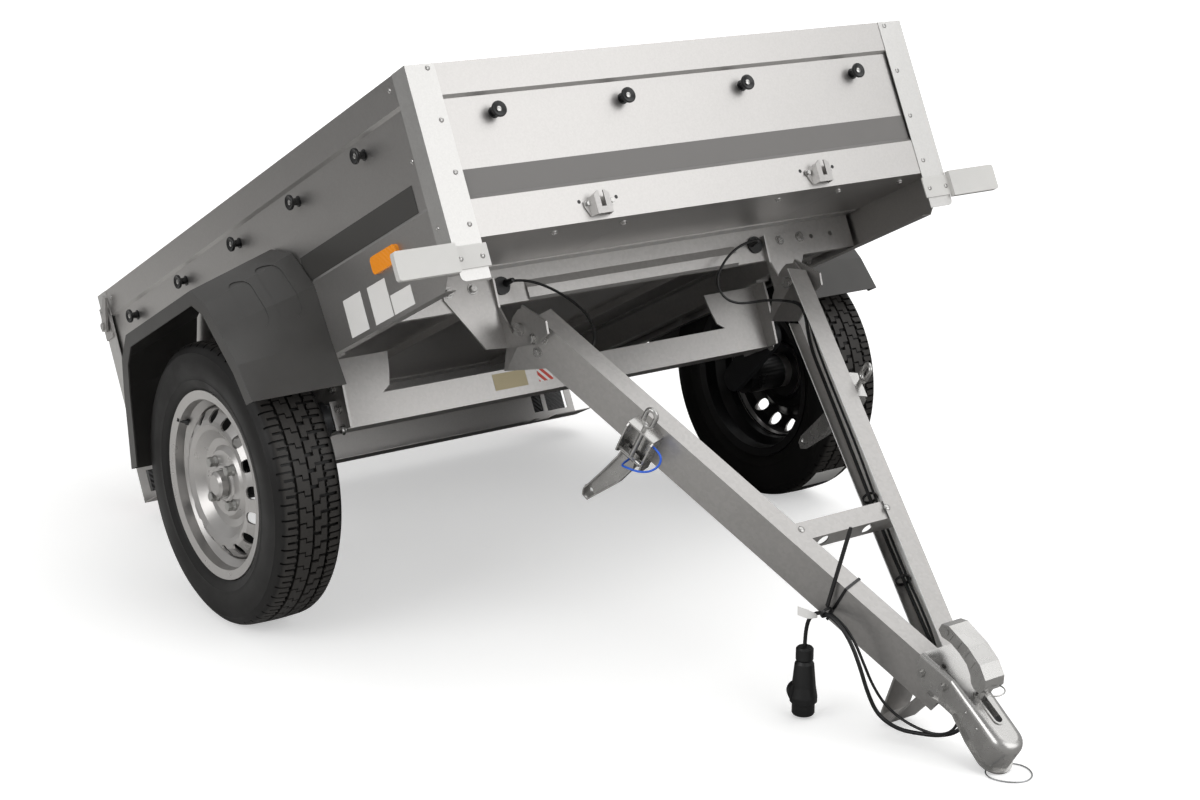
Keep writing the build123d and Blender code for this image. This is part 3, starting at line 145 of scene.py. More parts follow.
def zincSteel(name, dark, light, spangle, roughLow, roughHigh, haze, metallic=1.0):
    # hot-dip zinc on steel: crystals that differ a little in tone and polish, with a cloudy bloom over them
    made, tree, shader, place = startMaterial(name, light, roughLow, metallic)
    crystalScale = 1000 / spangle
    warp = addNode(tree, "ShaderNodeTexNoise", {
        "Vector": place, "Scale": patterns["warp"] * crystalScale, "Detail": 2.0,
    })
    moved = addNode(tree, "ShaderNodeMix", {0: patterns["warpDepth"], 4: place, 5: warp.outputs["Color"]},
                    data_type="VECTOR").outputs[1]
    crystals = addNode(tree, "ShaderNodeTexVoronoi", {"Vector": moved, "Scale": crystalScale})
    grey = addNode(tree, "ShaderNodeSeparateColor", {0: crystals.outputs["Color"]}).outputs[0]
    cloud = addNode(tree, "ShaderNodeTexNoise", {
        "Vector": place, "Scale": 1000 / patterns["bloom"], "Detail": 5.0,
    }).outputs[0]
    share = addNode(tree, "ShaderNodeMix", {0: haze, 2: grey, 3: cloud}).outputs[0]
    varySurface(tree, shader, share, (0.0, 1.0), (dark, light), (roughLow, roughHigh), grey, (0.05, 0.1))
    return made


def plainMetal(name, dark, light, roughLow, roughHigh, grain, relief, metallic=1.0):
    # plated or bare steel with a fine tumbled grain and faint smears
    made, tree, shader, place = startMaterial(name, light, roughLow, metallic)
    fine = addNode(tree, "ShaderNodeTexNoise", {
        "Vector": place, "Scale": 1000 / grain, "Detail": 3.0,
    }).outputs[0]
    smear = addNode(tree, "ShaderNodeTexNoise", {
        "Vector": place, "Scale": 1000 / patterns["smear"], "Detail": 4.0,
    }).outputs[0]
    varySurface(tree, shader, smear, patterns["noiseRange"], (dark, light), (roughLow, roughHigh),
                fine, (relief, 0.2))
    return made


def mouldedPlastic(name, dark, light, roughLow, roughHigh, grain, relief, **more):
    # moulded plastic or rubber: spark-eroded grain, with tone drifting across the moulding
    made, tree, shader, place = startMaterial(name, light, roughLow, **more)
    fine = addNode(tree, "ShaderNodeTexVoronoi", {"Vector": place, "Scale": 1000 / grain}).outputs["Distance"]
    drift = addNode(tree, "ShaderNodeTexNoise", {
        "Vector": place, "Scale": 1000 / patterns["drift"], "Detail": 5.0,
    }).outputs[0]
    varySurface(tree, shader, drift, patterns["noiseRange"], (dark, light), (roughLow, roughHigh),
                fine, (relief, 0.15))
    return made


def ribbedLens(name, hexColour, pitch):
    # moulded acrylic lens: clear colour over fine prism ribs square to the box, glossy outside
    made, tree, shader, place = startMaterial(name, hexColour, 0.16, **{"IOR": 1.49, "Coat Weight": 0.4})
    level = addNode(tree, "ShaderNodeMapping", {
        "Vector": place, "Rotation": (0.0, math.radians(stand["boxTip"]), 0.0),
    })
    ribs = addNode(tree, "ShaderNodeTexWave", {
        "Vector": level.outputs[0], "Scale": 1000 / (pitch * 2 * math.pi),
    }, bands_direction="DIAGONAL")
    bump = addNode(tree, "ShaderNodeBump", {
        "Height": ribs.outputs["Fac"], "Strength": 0.5, "Distance": 0.0005,
    })
    tree.links.new(bump.outputs["Normal"], shader.inputs["Normal"])
    return made


def paintOver(finish, share, hexColour):
    # a second colour where share is 1
    tree = finish.node_tree
    tone = tree.nodes["Principled BSDF"].inputs["Base Color"]
    under = tone.links[0].from_socket if tone.is_linked else tuple(tone.default_value)
    both = addNode(tree, "ShaderNodeMix", {0: share, 6: under, 7: fromHex(hexColour)}, data_type="RGBA")
    tree.links.new(both.outputs[2], tone)


turnedEnough = -0.2  # a face looks inboard when its normal's part outwards is less than this


def paintInboardShading(finish, hexColour, reach=0.0):
    # painted light and shade: the faces that look towards the trailer's middle, and all within reach of it,
    # get a painted colour standing in for how much light reaches them, and are made matt
    tree = finish.node_tree
    metallic = tree.nodes["Principled BSDF"].inputs["Metallic"]
    across = addNode(tree, "ShaderNodeSeparateXYZ", {
        0: addNode(tree, "ShaderNodeTexCoord").outputs["Object"],
    }).outputs["Y"]
    away = addNode(tree, "ShaderNodeSeparateXYZ", {
        0: addNode(tree, "ShaderNodeNewGeometry").outputs["Normal"],
    }).outputs["Y"]
    half = addNode(tree, "ShaderNodeMath", {0: across}, operation="SIGN").outputs[0]
    facingOut = addNode(tree, "ShaderNodeMath", {0: half, 1: away}, operation="MULTIPLY").outputs[0]
    turnedIn = addNode(tree, "ShaderNodeMath", {0: facingOut, 1: turnedEnough},
                       operation="LESS_THAN").outputs[0]
    distance = addNode(tree, "ShaderNodeMath", {0: across}, operation="ABSOLUTE").outputs[0]
    deep = addNode(tree, "ShaderNodeMath", {0: distance, 1: reach}, operation="LESS_THAN").outputs[0]
    paintedInboard = addNode(tree, "ShaderNodeMath", {0: turnedIn, 1: deep}, operation="MAXIMUM").outputs[0]
    paintOver(finish, paintedInboard, hexColour)
    shine = addNode(tree, "ShaderNodeMapRange", {0: paintedInboard, 3: metallic.default_value, 4: 0.0}).outputs[0]
    tree.links.new(shine, metallic)


# metals, with spangle and grain in millimetres
dipped = ("A5A3A1", "B5B3B1", 6.0, 0.34, 0.42, 0.55, 0.72)  # thick zinc, half gone dull
sheetZinc = zincSteel("aluminium-zinc coated sheet", "B7B5B3", "C1BFBD", 3.0, 0.39, 0.44, 0.5)
postZinc = zincSteel("bright aluminium-zinc corner sheet", "C4C3C1", "D0CFCD", 3.0, 0.42, 0.5, 0.5, 0.9)
heavyZinc = zincSteel("hot-dip galvanised steel", *dipped)
armZinc = zincSteel("galvanised steel of the arms", *dipped)
paintInboardShading(armZinc, "F6F5F3")  # painted highlight: the inboard faces of the arms' channels are painted near-white and matt, standing in for light that doesn't reach inside them
brightZinc = plainMetal("bright zinc plate", "A09F9D", "C6C5C3", 0.2, 0.32, 0.8, 0.03, 0.84)
wheelZinc = plainMetal("zinc plated wheel bolts", "8A8A88", "B9B9B6", 0.25, 0.4, 0.8, 0.1)
steelRope = plainMetal("stranded steel rope", "9C9EA0", "C4C6C8", 0.25, 0.4, 0.5, 0.5)
castIron = plainMetal("painted cast iron", "1B1C1D", "2C2D2F", 0.45, 0.65, 1.2, 0.3, 0.25)

# plastics, paint and films, with grain in millimetres
guardPlastic = mouldedPlastic("moulded polypropylene", "373635", "474644", 0.36, 0.48, 1.3, 0.35)
nylon = mouldedPlastic("moulded nylon", "0B0B0C", "161718", 0.3, 0.45, 0.9, 0.2)
softPvc = mouldedPlastic("soft PVC sheath", "0A0A0B", "151617", 0.34, 0.46, 0.8, 0.15)
bluePvc = mouldedPlastic("blue PVC sleeve", "1F56D6", "3D7CF2", 0.3, 0.42, 0.8, 0.1)
whiteLens = mouldedPlastic("white ABS", "C8C7C4", "D6D5D2", 0.3, 0.4, 0.9, 0.08)
darkStripe = mouldedPlastic("dark vinyl film", "3A3937", "434240", 0.4, 0.5, 0.6, 0.03)
greyStripe = mouldedPlastic("grey vinyl film", "6A6866", "747270", 0.4, 0.5, 0.6, 0.03)
labelPaper = mouldedPlastic("coated label paper", "E6E5E2", "F2F1EF", 0.45, 0.55, 0.6, 0.02)
sandPlate = mouldedPlastic("sand coloured label film", "A99C78", "BCAF8C", 0.4, 0.5, 0.6, 0.03)
whiteMark = mouldedPlastic("white printed film", "DEDEDC", "ECECEA", 0.35, 0.45, 0.6, 0.02)
rimPaint = mouldedPlastic("silver wheel enamel", "A6A4A2", "C0BEBC", 0.26, 0.36, 0.7, 0.06, Metallic=0.7)
paintInboardShading(rimPaint, "141415", reach=0.668)  # painted shade: the rim's faces that look inboard, and all of it within 0.668 m of the middle, are painted near-black, standing in for the shade inside the wheel

# rubber: the tops of the tread are painted a lighter grey, and the walls and the grooves are black
treadTop = {"from": 0.2680, "to": 0.2712, "tone": "33312F"}  # distances from the axle
rubber = mouldedPlastic("vulcanised rubber", "0C0B0B", "171615", 0.42, 0.58, 1.6, 0.2,
                        **{"Specular IOR Level": 0.3})
tree = rubber.node_tree
fromAxle = addNode(tree, "ShaderNodeVectorMath", {
    0: addNode(tree, "ShaderNodeTexCoord").outputs["Object"], 1: stand["wheelCentre"],
}, operation="SUBTRACT").outputs[0]
flat = addNode(tree, "ShaderNodeVectorMath", {0: fromAxle, 1: (1.0, 0.0, 1.0)},
               operation="MULTIPLY").outputs[0]
radius = addNode(tree, "ShaderNodeVectorMath", {0: flat}, operation="LENGTH").outputs["Value"]
treadTopShare = addNode(tree, "ShaderNodeMapRange", {0: radius, 1: treadTop["from"], 2: treadTop["to"]}).outputs[0]
paintOver(rubber, treadTopShare, treadTop["tone"])

# lenses, with ribs in millimetres; only the back of a tail lamp is lens, and the rest is its black housing
lens = {"ribs": 3.0, "housingFrom": -1.470, "housing": "141415"}  # housingFrom runs along the box
orangeLens = ribbedLens("orange acrylic", "FF9A08", lens["ribs"])
redLens = ribbedLens("red acrylic", "A81414", lens["ribs"])
tree = redLens.node_tree
level = addNode(tree, "ShaderNodeVectorRotate", {
    "Vector": addNode(tree, "ShaderNodeTexCoord").outputs["Object"], "Center": stand["boxOrigin"],
    "Angle": math.radians(stand["boxTip"]),
}, rotation_type="Y_AXIS").outputs[0]
along = addNode(tree, "ShaderNodeSeparateXYZ", {0: level}).outputs["X"]
housed = addNode(tree, "ShaderNodeMath", {0: along, 1: stand["boxOrigin"][0] + lens["housingFrom"]},
                 operation="GREATER_THAN").outputs[0]
paintOver(redLens, housed, lens["housing"])

# slanted red stripes on the white mark
slant = {"pitch": 0.016, "white": 0.0072, "red": "C4301C"}
tree = whiteMark.node_tree
where = addNode(tree, "ShaderNodeSeparateXYZ", {
    0: addNode(tree, "ShaderNodeTexCoord").outputs["Object"],
}).outputs
upward = addNode(tree, "ShaderNodeMath", {0: where["Y"], 1: where["Z"]}, operation="ADD").outputs[0]
inPitch = addNode(tree, "ShaderNodeMath", {0: upward, 1: slant["pitch"]},
                  operation="FLOORED_MODULO").outputs[0]
redPart = addNode(tree, "ShaderNodeMath", {0: inPitch, 1: slant["white"]},
                  operation="GREATER_THAN").outputs[0]
paintOver(whiteMark, redPart, slant["red"])

finishes = {
    sheetZinc: "front_panel side_panel_left side_panel_right tailgate_panel floor light_bar",
    postZinc: "corner_posts",
    armZinc: "arm_left arm_right",
    heavyZinc: "front_beam side_rails rear_sill axle_beam axle_plates hinge_brackets arm_plates"
               " drawbar_crossmember rest_strap catches sill_hinges tailgate_hinges tailgate_latches",
    brightZinc: "coupling_shell coupling_handle coupling_bolts pivot_bolts latch_frames latch_eyes"
                " latch_levers",
    wheelZinc: "wheel_bolts_left wheel_bolts_right",
    castIron: "swing_arms ball_socket",
    guardPlastic: "mudguard_left mudguard_right",
    nylon: "tarp_knobs beam_grommets plug plug_tie arm_ties",
    rimPaint: "rim_left rim_right hub_left hub_right",
    rubber: "tyre_left tyre_right",
    orangeLens: "side_reflectors",
    whiteLens: "front_markers",
    redLens: "tail_lamps",
    softPvc: "plug_cable arm_cable arm_wire spare_loop near_cable far_cable",
    bluePvc: "latch_tether",
    steelRope: "safety_cable",
}
for finish, names in finishes.items():
    for nodeName in names.split():
        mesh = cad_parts[nodeName].data
        mesh.materials.clear()
        mesh.materials.append(finish)
print("materials given to", len(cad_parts), "nodes")


def finishPiece(name, bm, body, finish, sharp=35.0):
    # sharp is the angle in degrees past which an edge stays crisp
    mesh = bpy.data.meshes.new(name)
    bm.to_mesh(mesh)
    bm.free()
    mesh.shade_smooth()
    mesh.set_sharp_from_angle(angle=math.radians(sharp))
    mesh.materials.append(finish)
    made = bpy.data.objects.new(name, mesh)
    bpy.context.scene.collection.objects.link(made)
    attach(made, body)
    return made


def spinClosed(bm, geom, steps):
    # a full turn about Z, closed where it meets itself and on the axis
    bmesh.ops.spin(bm, geom=geom, cent=(0, 0, 0), axis=(0, 0, 1), angle=2 * math.pi, steps=steps,
                   use_merge=True)
    bmesh.ops.remove_doubles(bm, verts=bm.verts, dist=1e-6)
    bmesh.ops.recalc_face_normals(bm, faces=bm.faces)


def lathe(bm, section, place, steps):
    # section is radius and height, in metres, from the axis or rim at one end to the other
    turned = bmesh.new()
    chain = [turned.verts.new((r, 0.0, h)) for r, h in section]
    edges = [turned.edges.new(pair) for pair in zip(chain, chain[1:])]
    spinClosed(turned, chain + edges, steps)
    bmesh.ops.transform(turned, matrix=place, verts=turned.verts)
    mesh = bpy.data.meshes.new("turned")
    turned.to_mesh(mesh)
    turned.free()
    bm.from_mesh(mesh)
    bpy.data.meshes.remove(mesh)


def thicken(bm, thickness, outward=None):
    # gives a sheet its wall, once it looks outward
    bmesh.ops.recalc_face_normals(bm, faces=bm.faces)
    if outward is not None and next(iter(bm.faces)).normal.dot(Vector(outward)) < 0:
        bmesh.ops.reverse_faces(bm, faces=bm.faces)
    bmesh.ops.solidify(bm, geom=list(bm.faces), thickness=thickness)


def facing(point, outward, around=0.0):
    # a place at point whose Z looks outward, turned around it by degrees
    turned = Vector(outward).to_track_quat("Z", "Y").to_matrix().to_4x4()
    return Matrix.Translation(point) @ turned @ Matrix.Rotation(math.radians(around), 4, "Z")


surfaces = {}
clear = {"ahead": 0.2, "behind": -1.8, "beside": 0.8, "above": 0.2, "below": -0.4}


def aim(fromSide, first, second, side=1):
    # the start and the way of a line that looks for a surface from clear of the box or the drawbar
    # first and second are the two places that it keeps, and side is -1 for the near half
    return {
        "ahead": ((clear["ahead"], side * first, second), (-1, 0, 0)),
        "behind": ((clear["behind"], side * first, second), (1, 0, 0)),
        "beside": ((first, side * clear["beside"], second), (0, -side, 0)),
        "above": ((first, side * second, clear["above"]), (0, 0, -1)),
        "below": ((first, side * second, clear["below"]), (0, 0, 1)),
    }[fromSide]


def touch(nodeName, place, start, towards):
    # where a straight line meets the node, and the way its surface faces
    # start and towards are in the frame of place
    if nodeName not in surfaces:
        found = bmesh.new()
        found.from_mesh(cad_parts[nodeName].data)
        surfaces[nodeName] = BVHTree.FromBMesh(found)
        found.free()
    way = place.to_3x3() @ Vector(towards)
    hit, normal = surfaces[nodeName].ray_cast(place @ Vector(start), way)[:2]
    if hit is None:
        return None, None
    if normal.dot(way) > 0:
        normal = -normal
    return hit, normal


# leads and cords, each on the same route as its solid
routes = {
    "armCable": [
        (-0.8537, 0.2862, 0.5345), (-0.824, 0.2886, 0.5366), (-0.7799, 0.265, 0.4683),
        (-0.7036, 0.2347, 0.4206), (-0.6263, 0.2069, 0.3652), (-0.5458, 0.174, 0.3148),
        (-0.4738, 0.1487, 0.2604), (-0.3974, 0.1184, 0.2127), (-0.3222, 0.0922, 0.1634),
        (-0.252, 0.064, 0.1245), (-0.186, 0.0374, 0.0884), (-0.1317, 0.0145, 0.0672),
        (-0.0972, 0.008, 0.047),
    ],
    "armWire": [
        (-0.802, 0.2777, 0.5258), (-0.7701, 0.266, 0.4833), (-0.6948, 0.2347, 0.434),
        (-0.6175, 0.2079, 0.3785), (-0.537, 0.176, 0.3281), (-0.4661, 0.1497, 0.2721),
        (-0.3898, 0.1184, 0.2244), (-0.3167, 0.0932, 0.1717), (-0.2474, 0.0636, 0.1407),
        (-0.1845, 0.0336, 0.109), (-0.1365, 0.0047, 0.0727), (-0.0961, -0.006, 0.0486),
    ],
    "plugCable": [
        (-0.0972, 0.008, 0.047), (-0.0691, 0.0027, 0.0305), (-0.0735, -0.008, -0.0044),
        (-0.1014, -0.024, -0.0196), (-0.136, -0.042, -0.0232), (-0.1682, -0.062, -0.0213),
        (-0.1964, -0.082, -0.0004), (-0.2086, -0.096, 0.0411), (-0.2184, -0.105, 0.0846),
        (-0.2337, -0.112, 0.1233), (-0.2572, -0.116, 0.1495), (-0.2883, -0.116, 0.1603),
        (-0.3215, -0.116, 0.1534), (-0.3454, -0.116, 0.126), (-0.3454, -0.116, 0.0823),
    ],
    "spareLoop": [
        (-0.0961, -0.006, 0.0486), (-0.0693, -0.0131, 0.0326), (-0.0729, -0.024, 0.0),
        (-0.1, -0.033, -0.0157), (-0.1322, -0.044, -0.0138), (-0.1683, -0.052, -0.0068),
        (-0.1984, -0.064, 0.0129), (-0.2142, -0.079, 0.0472), (-0.2234, -0.093, 0.0879),
        (-0.2367, -0.102, 0.1241), (-0.2624, -0.107, 0.1505), (-0.2966, -0.107, 0.1586),
    ],
    "safetyCable": [
        (0.0032, -0.0195, -0.0315), (0.0001, -0.026, -0.0437), (0.0155, -0.034, -0.0457),
        (0.0334, -0.032, -0.0457), (0.0502, -0.022, -0.0457), (0.0621, -0.006, -0.0457),
        (0.0645, 0.012, -0.0457), (0.0562, 0.029, -0.0457), (0.0394, 0.041, -0.0457),
        (0.0203, 0.044, -0.0457), (0.006, 0.037, -0.0456), (0.0001, 0.027, -0.0437),
        (0.0032, 0.02, -0.0315),
    ],
    "nearCable": [
        (-0.9894, -0.292, 0.6252), (-0.9709, -0.292, 0.6344), (-0.9499, -0.262, 0.6325),
        (-0.9294, -0.232, 0.6182), (-0.899, -0.208, 0.5975), (-0.8642, -0.199, 0.5768),
        (-0.8267, -0.21, 0.5553), (-0.7972, -0.236, 0.5364), (-0.787, -0.262, 0.5247),
        (-0.7857, -0.2824, 0.5176),
    ],
    "farCable": [
        (-0.9894, 0.292, 0.6252), (-0.9647, 0.292, 0.6375), (-0.9562, 0.262, 0.6406),
        (-0.9535, 0.22, 0.6308), (-0.9437, 0.18, 0.6066), (-0.9295, 0.154, 0.5779),
        (-0.9108, 0.158, 0.5492), (-0.9019, 0.186, 0.5358), (-0.8988, 0.22, 0.534), (-0.8988, 0.252, 0.534),
        (-0.8841, 0.2836, 0.5323), (-0.8543, 0.286, 0.5343),
    ],
    "latchTether": [
        (-0.6116, -0.2415, 0.3962), (-0.5973, -0.2361, 0.3868), (-0.596, -0.2388, 0.368),
        (-0.6082, -0.2501, 0.3545), (-0.6285, -0.2622, 0.351), (-0.6536, -0.2694, 0.3544),
        (-0.6763, -0.2656, 0.3525), (-0.6822, -0.2432, 0.3564),
    ],
}
# columns: node, body, slot, material, diameter, length, far end, stiffness, lay
cords = {
    "armCable": ("arm_cable", "drawbar", "cable_black", softPvc, 0.007, 0.955, "object", "stiff", "taut"),
    "armWire": ("arm_wire", "drawbar", "cable_black", softPvc, 0.005, 0.903, "object", "stiff", "taut"),
    "plugCable": ("plug_cable", "drawbar", "cable_black", softPvc, 0.007, 0.526, "plug", "stiff", "hanging"),
    "spareLoop": ("spare_loop", "drawbar", "cable_black", softPvc, 0.005, 0.397, "object", "stiff",
                  "hanging"),
    "safetyCable": ("safety_cable", "drawbar", "steel_cable", steelRope, 0.0025, 0.202, "object", "stiff",
                    "loose"),
    "nearCable": ("near_cable", "box", "cable_black", softPvc, 0.005, 0.317, "object", "stiff", "hanging"),
    "farCable": ("far_cable", "box", "cable_black", softPvc, 0.005, 0.377, "object", "stiff", "hanging"),
    "latchTether": ("latch_tether", "drawbar", "blue_cord", bluePvc, 0.004, 0.149, "object", "medium",
                    "hanging"),
}
bridging = {"nearCable", "farCable"}  # leads that leave the box and end on the drawbar
tubeMesh = {"stepsAlong": 10, "stepsAround": 4, "sharp": 50}


def meshOf(lead):
    bpy.context.view_layer.update()
    return bpy.data.meshes.new_from_object(lead.evaluated_get(bpy.context.evaluated_depsgraph_get()))


def bendingTube(name, lead):
    # a tube made from the lead and left unattached to either body, with the line it follows
    tube = meshOf(lead)
    lead.data.bevel_depth = 0.0
    line = [tuple(v.co) for v in meshOf(lead).vertices]
    bpy.data.objects.remove(lead)
    tube.set_sharp_from_angle(angle=math.radians(tubeMesh["sharp"]))
    made = bpy.data.objects.new(name, tube)
    bpy.context.scene.collection.objects.link(made)
    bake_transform(made)
    return made, line


for name, (node, body, slotName, finish, width, length, farEnd, stiff, lay) in cords.items():
    data = bpy.data.curves.new(name, "CURVE")
    data.dimensions = "3D"
    data.resolution_u = tubeMesh["stepsAlong"]
    data.bevel_depth = width / 2
    data.bevel_resolution = tubeMesh["stepsAround"]
    data.use_fill_caps = True
    spline = data.splines.new("NURBS")
    spline.points.add(len(routes[name]) - 1)
    for point, at in zip(spline.points, routes[name]):
        point.co = (*at, 1.0)
    spline.order_u = 3
    spline.use_endpoint_u = True
    data.materials.append(finish)
    lead = bpy.data.objects.new(name, data)
    bpy.context.scene.collection.objects.link(lead)
    line = None
    if name in bridging:
        lead, line = bendingTube(name, lead)
    else:
        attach(lead, body)
    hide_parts(node)
print("cords laid:", len(cords))


def wheelPlace(side):
    # the axle runs along Z, outwards, and Y runs down on the left wheel and up on the right one
    x, y, z = stand["wheelCentre"]
    return Matrix.Translation((x, side * y, z)) @ Matrix.Rotation(-math.radians(90) * side, 4, "X")


# tyres: one smooth carcass, with the tread sunk into it
tyre = {
    "pitches": 58,  # tread blocks round the tyre
    "steps": (0.0, 0.13, 0.34, 0.46, 0.64, 0.76),  # where each pitch is divided
    "depth": 0.0065,
    "cutFrom": 0.2655,  # the radius past which a face may be cut
    "shoulder": (  # radius and distance from the middle, from the bead out to the tread's edge
        (0.1672, 0.0575), (0.1825, 0.0600), (0.1868, 0.0645), (0.1925, 0.0672), (0.2000, 0.0694),
        (0.2030, 0.0706), (0.2052, 0.0702), (0.2120, 0.0713), (0.2265, 0.0725), (0.2400, 0.0716),
        (0.2505, 0.0692), (0.2535, 0.0688), (0.2556, 0.0670), (0.2605, 0.0642),
    ),
    "tread": (  # the same, from the tread's edge to its middle; each point is a strip's outer border
        (0.2645, 0.0612), (0.2687, 0.0570), (0.2711, 0.0520), (0.2723, 0.0455), (0.2729, 0.0350),
        (0.2730, 0.0325), (0.2732, 0.0275), (0.2736, 0.0159), (0.2736, 0.0141), (0.2738, 0.0025),
    ),
    "cuts": (  # the steps of a pitch that are cut away, for each strip
        (0,), (0,), (0, 3), (0, 3), (0, 2, 3, 5), range(6), (4,), (2, 3, 4), (2,), range(6),
    ),
    "ribs": (6, 7, 8),  # the strips of the two inner ribs
    "shift": 2,  # steps that the far half's cuts fall behind the near half's
    "ribShift": 3,
    "hollow": ((0.2620, 0.0), (0.2598, 0.0465), (0.2398, 0.0595), (0.2065, 0.0595), (0.1668, 0.0445)),
    "sharp": 28.0,
}


def turnOf(point):
    # how far round the axle a point lies, from 0 to 1
    return math.atan2(point.y, point.x) / (2 * math.pi) % 1.0


def buildTyre(sideName, side):
    bm = bmesh.new()
    half = tyre["shoulder"] + tyre["tread"]
    outline = half + tuple((r, -h) for r, h in reversed(half))
    outline += tuple((r, -h) for r, h in reversed(tyre["hollow"])) + tyre["hollow"][1:]
    chain = [bm.verts.new((r, 0.0, h)) for r, h in outline]
    edges = [bm.edges.new((chain[i], chain[(i + 1) % len(chain)])) for i in range(len(chain))]
    stepCount = len(tyre["steps"])
    count = tyre["pitches"] * stepCount
    spinClosed(bm, chain + edges, count)

    borders = [h for r, h in tyre["tread"]]
    sunk = []
    for face in bm.faces:
        middle = face.calc_center_median()
        if math.hypot(middle.x, middle.y) < tyre["cutFrom"]:
            continue
        strip = sum(1 for border in borders if abs(middle.z) < border) - 1
        step = int(turnOf(middle) * count)
        if middle.z < 0:
            step += tyre["ribShift"] if strip in tyre["ribs"] else tyre["shift"]
        if strip >= 0 and step % stepCount in tyre["cuts"][strip]:
            sunk.append(face)
    grown = bmesh.ops.extrude_face_region(bm, geom=sunk)
    bmesh.ops.delete(bm, geom=[face for face in sunk if face.is_valid], context="FACES_ONLY")
    for v in grown["geom"]:
        if isinstance(v, bmesh.types.BMVert):
            radius = math.hypot(v.co.x, v.co.y)
            inward = (radius - tyre["depth"]) / radius
            v.co.x *= inward
            v.co.y *= inward

    # the even steps of the spin are moved to where each pitch is divided
    for v in bm.verts:
        radius = math.hypot(v.co.x, v.co.y)
        pitch, step = divmod(round(turnOf(v.co) * count), stepCount)
        angle = 2 * math.pi * (pitch + tyre["steps"][step]) / tyre["pitches"]
        v.co.x = radius * math.cos(angle)
        v.co.y = radius * math.sin(angle)
    bmesh.ops.transform(bm, matrix=wheelPlace(side), verts=bm.verts)
    made = finishPiece("tyre" + sideName.capitalize(), bm, "wheel_" + sideName, rubber,
                       tyre["sharp"])
    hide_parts("tyre_" + sideName)


for sideName, side in sides.items():
    buildTyre(sideName, side)
print("tyres built")

# wheel bolts: a hexagon on a cone, with sections of radius and height
wheelBolt = {
    "count": 4, "circle": 0.049, "phase": 18.6, "face": 0.038, "coneSteps": 24, "sharp": 25.0,
    "cone": ((0.0, 0.0002), (0.0108, 0.0002), (0.0112, 0.0012), (0.0092, 0.0052), (0.0088, 0.0060),
             (0.0, 0.0060)),
    "hexagon": ((0.0, 0.0058), (0.0094, 0.0058), (0.0098, 0.0068), (0.0098, 0.0142), (0.0088, 0.0158),
                (0.0030, 0.0160), (0.0, 0.0154)),
}
for sideName, side in sides.items():
    bm = bmesh.new()
    for k in range(wheelBolt["count"]):
        turned = math.radians(wheelBolt["phase"] + stand["boxTip"]) + 2 * math.pi * k / wheelBolt["count"]
        reach = Vector((math.cos(turned), -side * math.sin(turned), 0.0)) * wheelBolt["circle"]
        seat = wheelPlace(side) @ Matrix.Translation(reach + Vector((0.0, 0.0, wheelBolt["face"])))
        lathe(bm, wheelBolt["cone"], seat, wheelBolt["coneSteps"])
        lathe(bm, wheelBolt["hexagon"], seat, 6)
    bolts = finishPiece("wheelBolts" + sideName.capitalize(), bm, "wheel_" + sideName, wheelZinc,
                        wheelBolt["sharp"])
    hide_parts("wheel_bolts_" + sideName)
print("wheel bolts made")

# printed films, each laid on the sheet that it is stuck to; lengths and heights are in the box's frame
prints = {
    "lift": 0.00035, "thickness": 0.0002,
    "frontStripe": {"across": 0.5075, "rows": (0.0652, 0.0713, 0.118)},
    "sideBand": {"from": -0.085, "to": -0.53, "rows": (0.0728, 0.1225)},
    "labels": (  # back, front, low, high
        (-0.406, -0.337, -0.064, 0.006), (-0.311, -0.243, -0.065, 0.004), (-0.239, -0.164, -0.065, -0.030),
    ),
    "plate": (-0.175, -0.097, -0.181, -0.148),  # near, far, low, high
    "mark": (-0.070, -0.036, -0.179, -0.149),
}


def film(name, nodeName, finish, fromSide, firsts, seconds, side=1):
    # firsts and seconds are the places of its columns and its rows
    bm = bmesh.new()
    columns, rows = len(firsts) - 1, len(seconds) - 1
    bmesh.ops.create_grid(bm, x_segments=columns, y_segments=rows, size=1.0)
    for v in bm.verts:
        column, row = round((v.co.x + 1) / 2 * columns), round((v.co.y + 1) / 2 * rows)
        start, way = aim(fromSide, firsts[column], seconds[row], side)
        hit, normal = touch(nodeName, boxFrame, start, way)
        v.co = hit + normal * prints["lift"]
    thicken(bm, prints["thickness"], -(boxFrame.to_3x3() @ Vector(way)))
    finishPiece(name, bm, "box", finish)


stripe = prints["frontStripe"]
film("frontStripe", "front_panel", greyStripe, "ahead",
     (-stripe["across"], 0.0, stripe["across"]), stripe["rows"])
band = prints["sideBand"]
for sideName, side in sides.items():
    film("sideBand" + sideName.capitalize(), "side_panel_" + sideName, darkStripe, "beside",
         (band["to"], band["from"]), band["rows"], side)
for k, (back, front, low, high) in enumerate(prints["labels"], start=1):
    film("blankLabel" + str(k), "side_panel_right", labelPaper, "beside",
         (back, front), (low, high), sides["right"])
near, far, low, high = prints["plate"]
film("blankPlate", "axle_beam", sandPlate, "ahead", (near, far), (low, high))
near, far, low, high = prints["mark"]
film("slantedMark", "axle_beam", whiteMark, "ahead", (near, far), (low, high))
print("films laid")

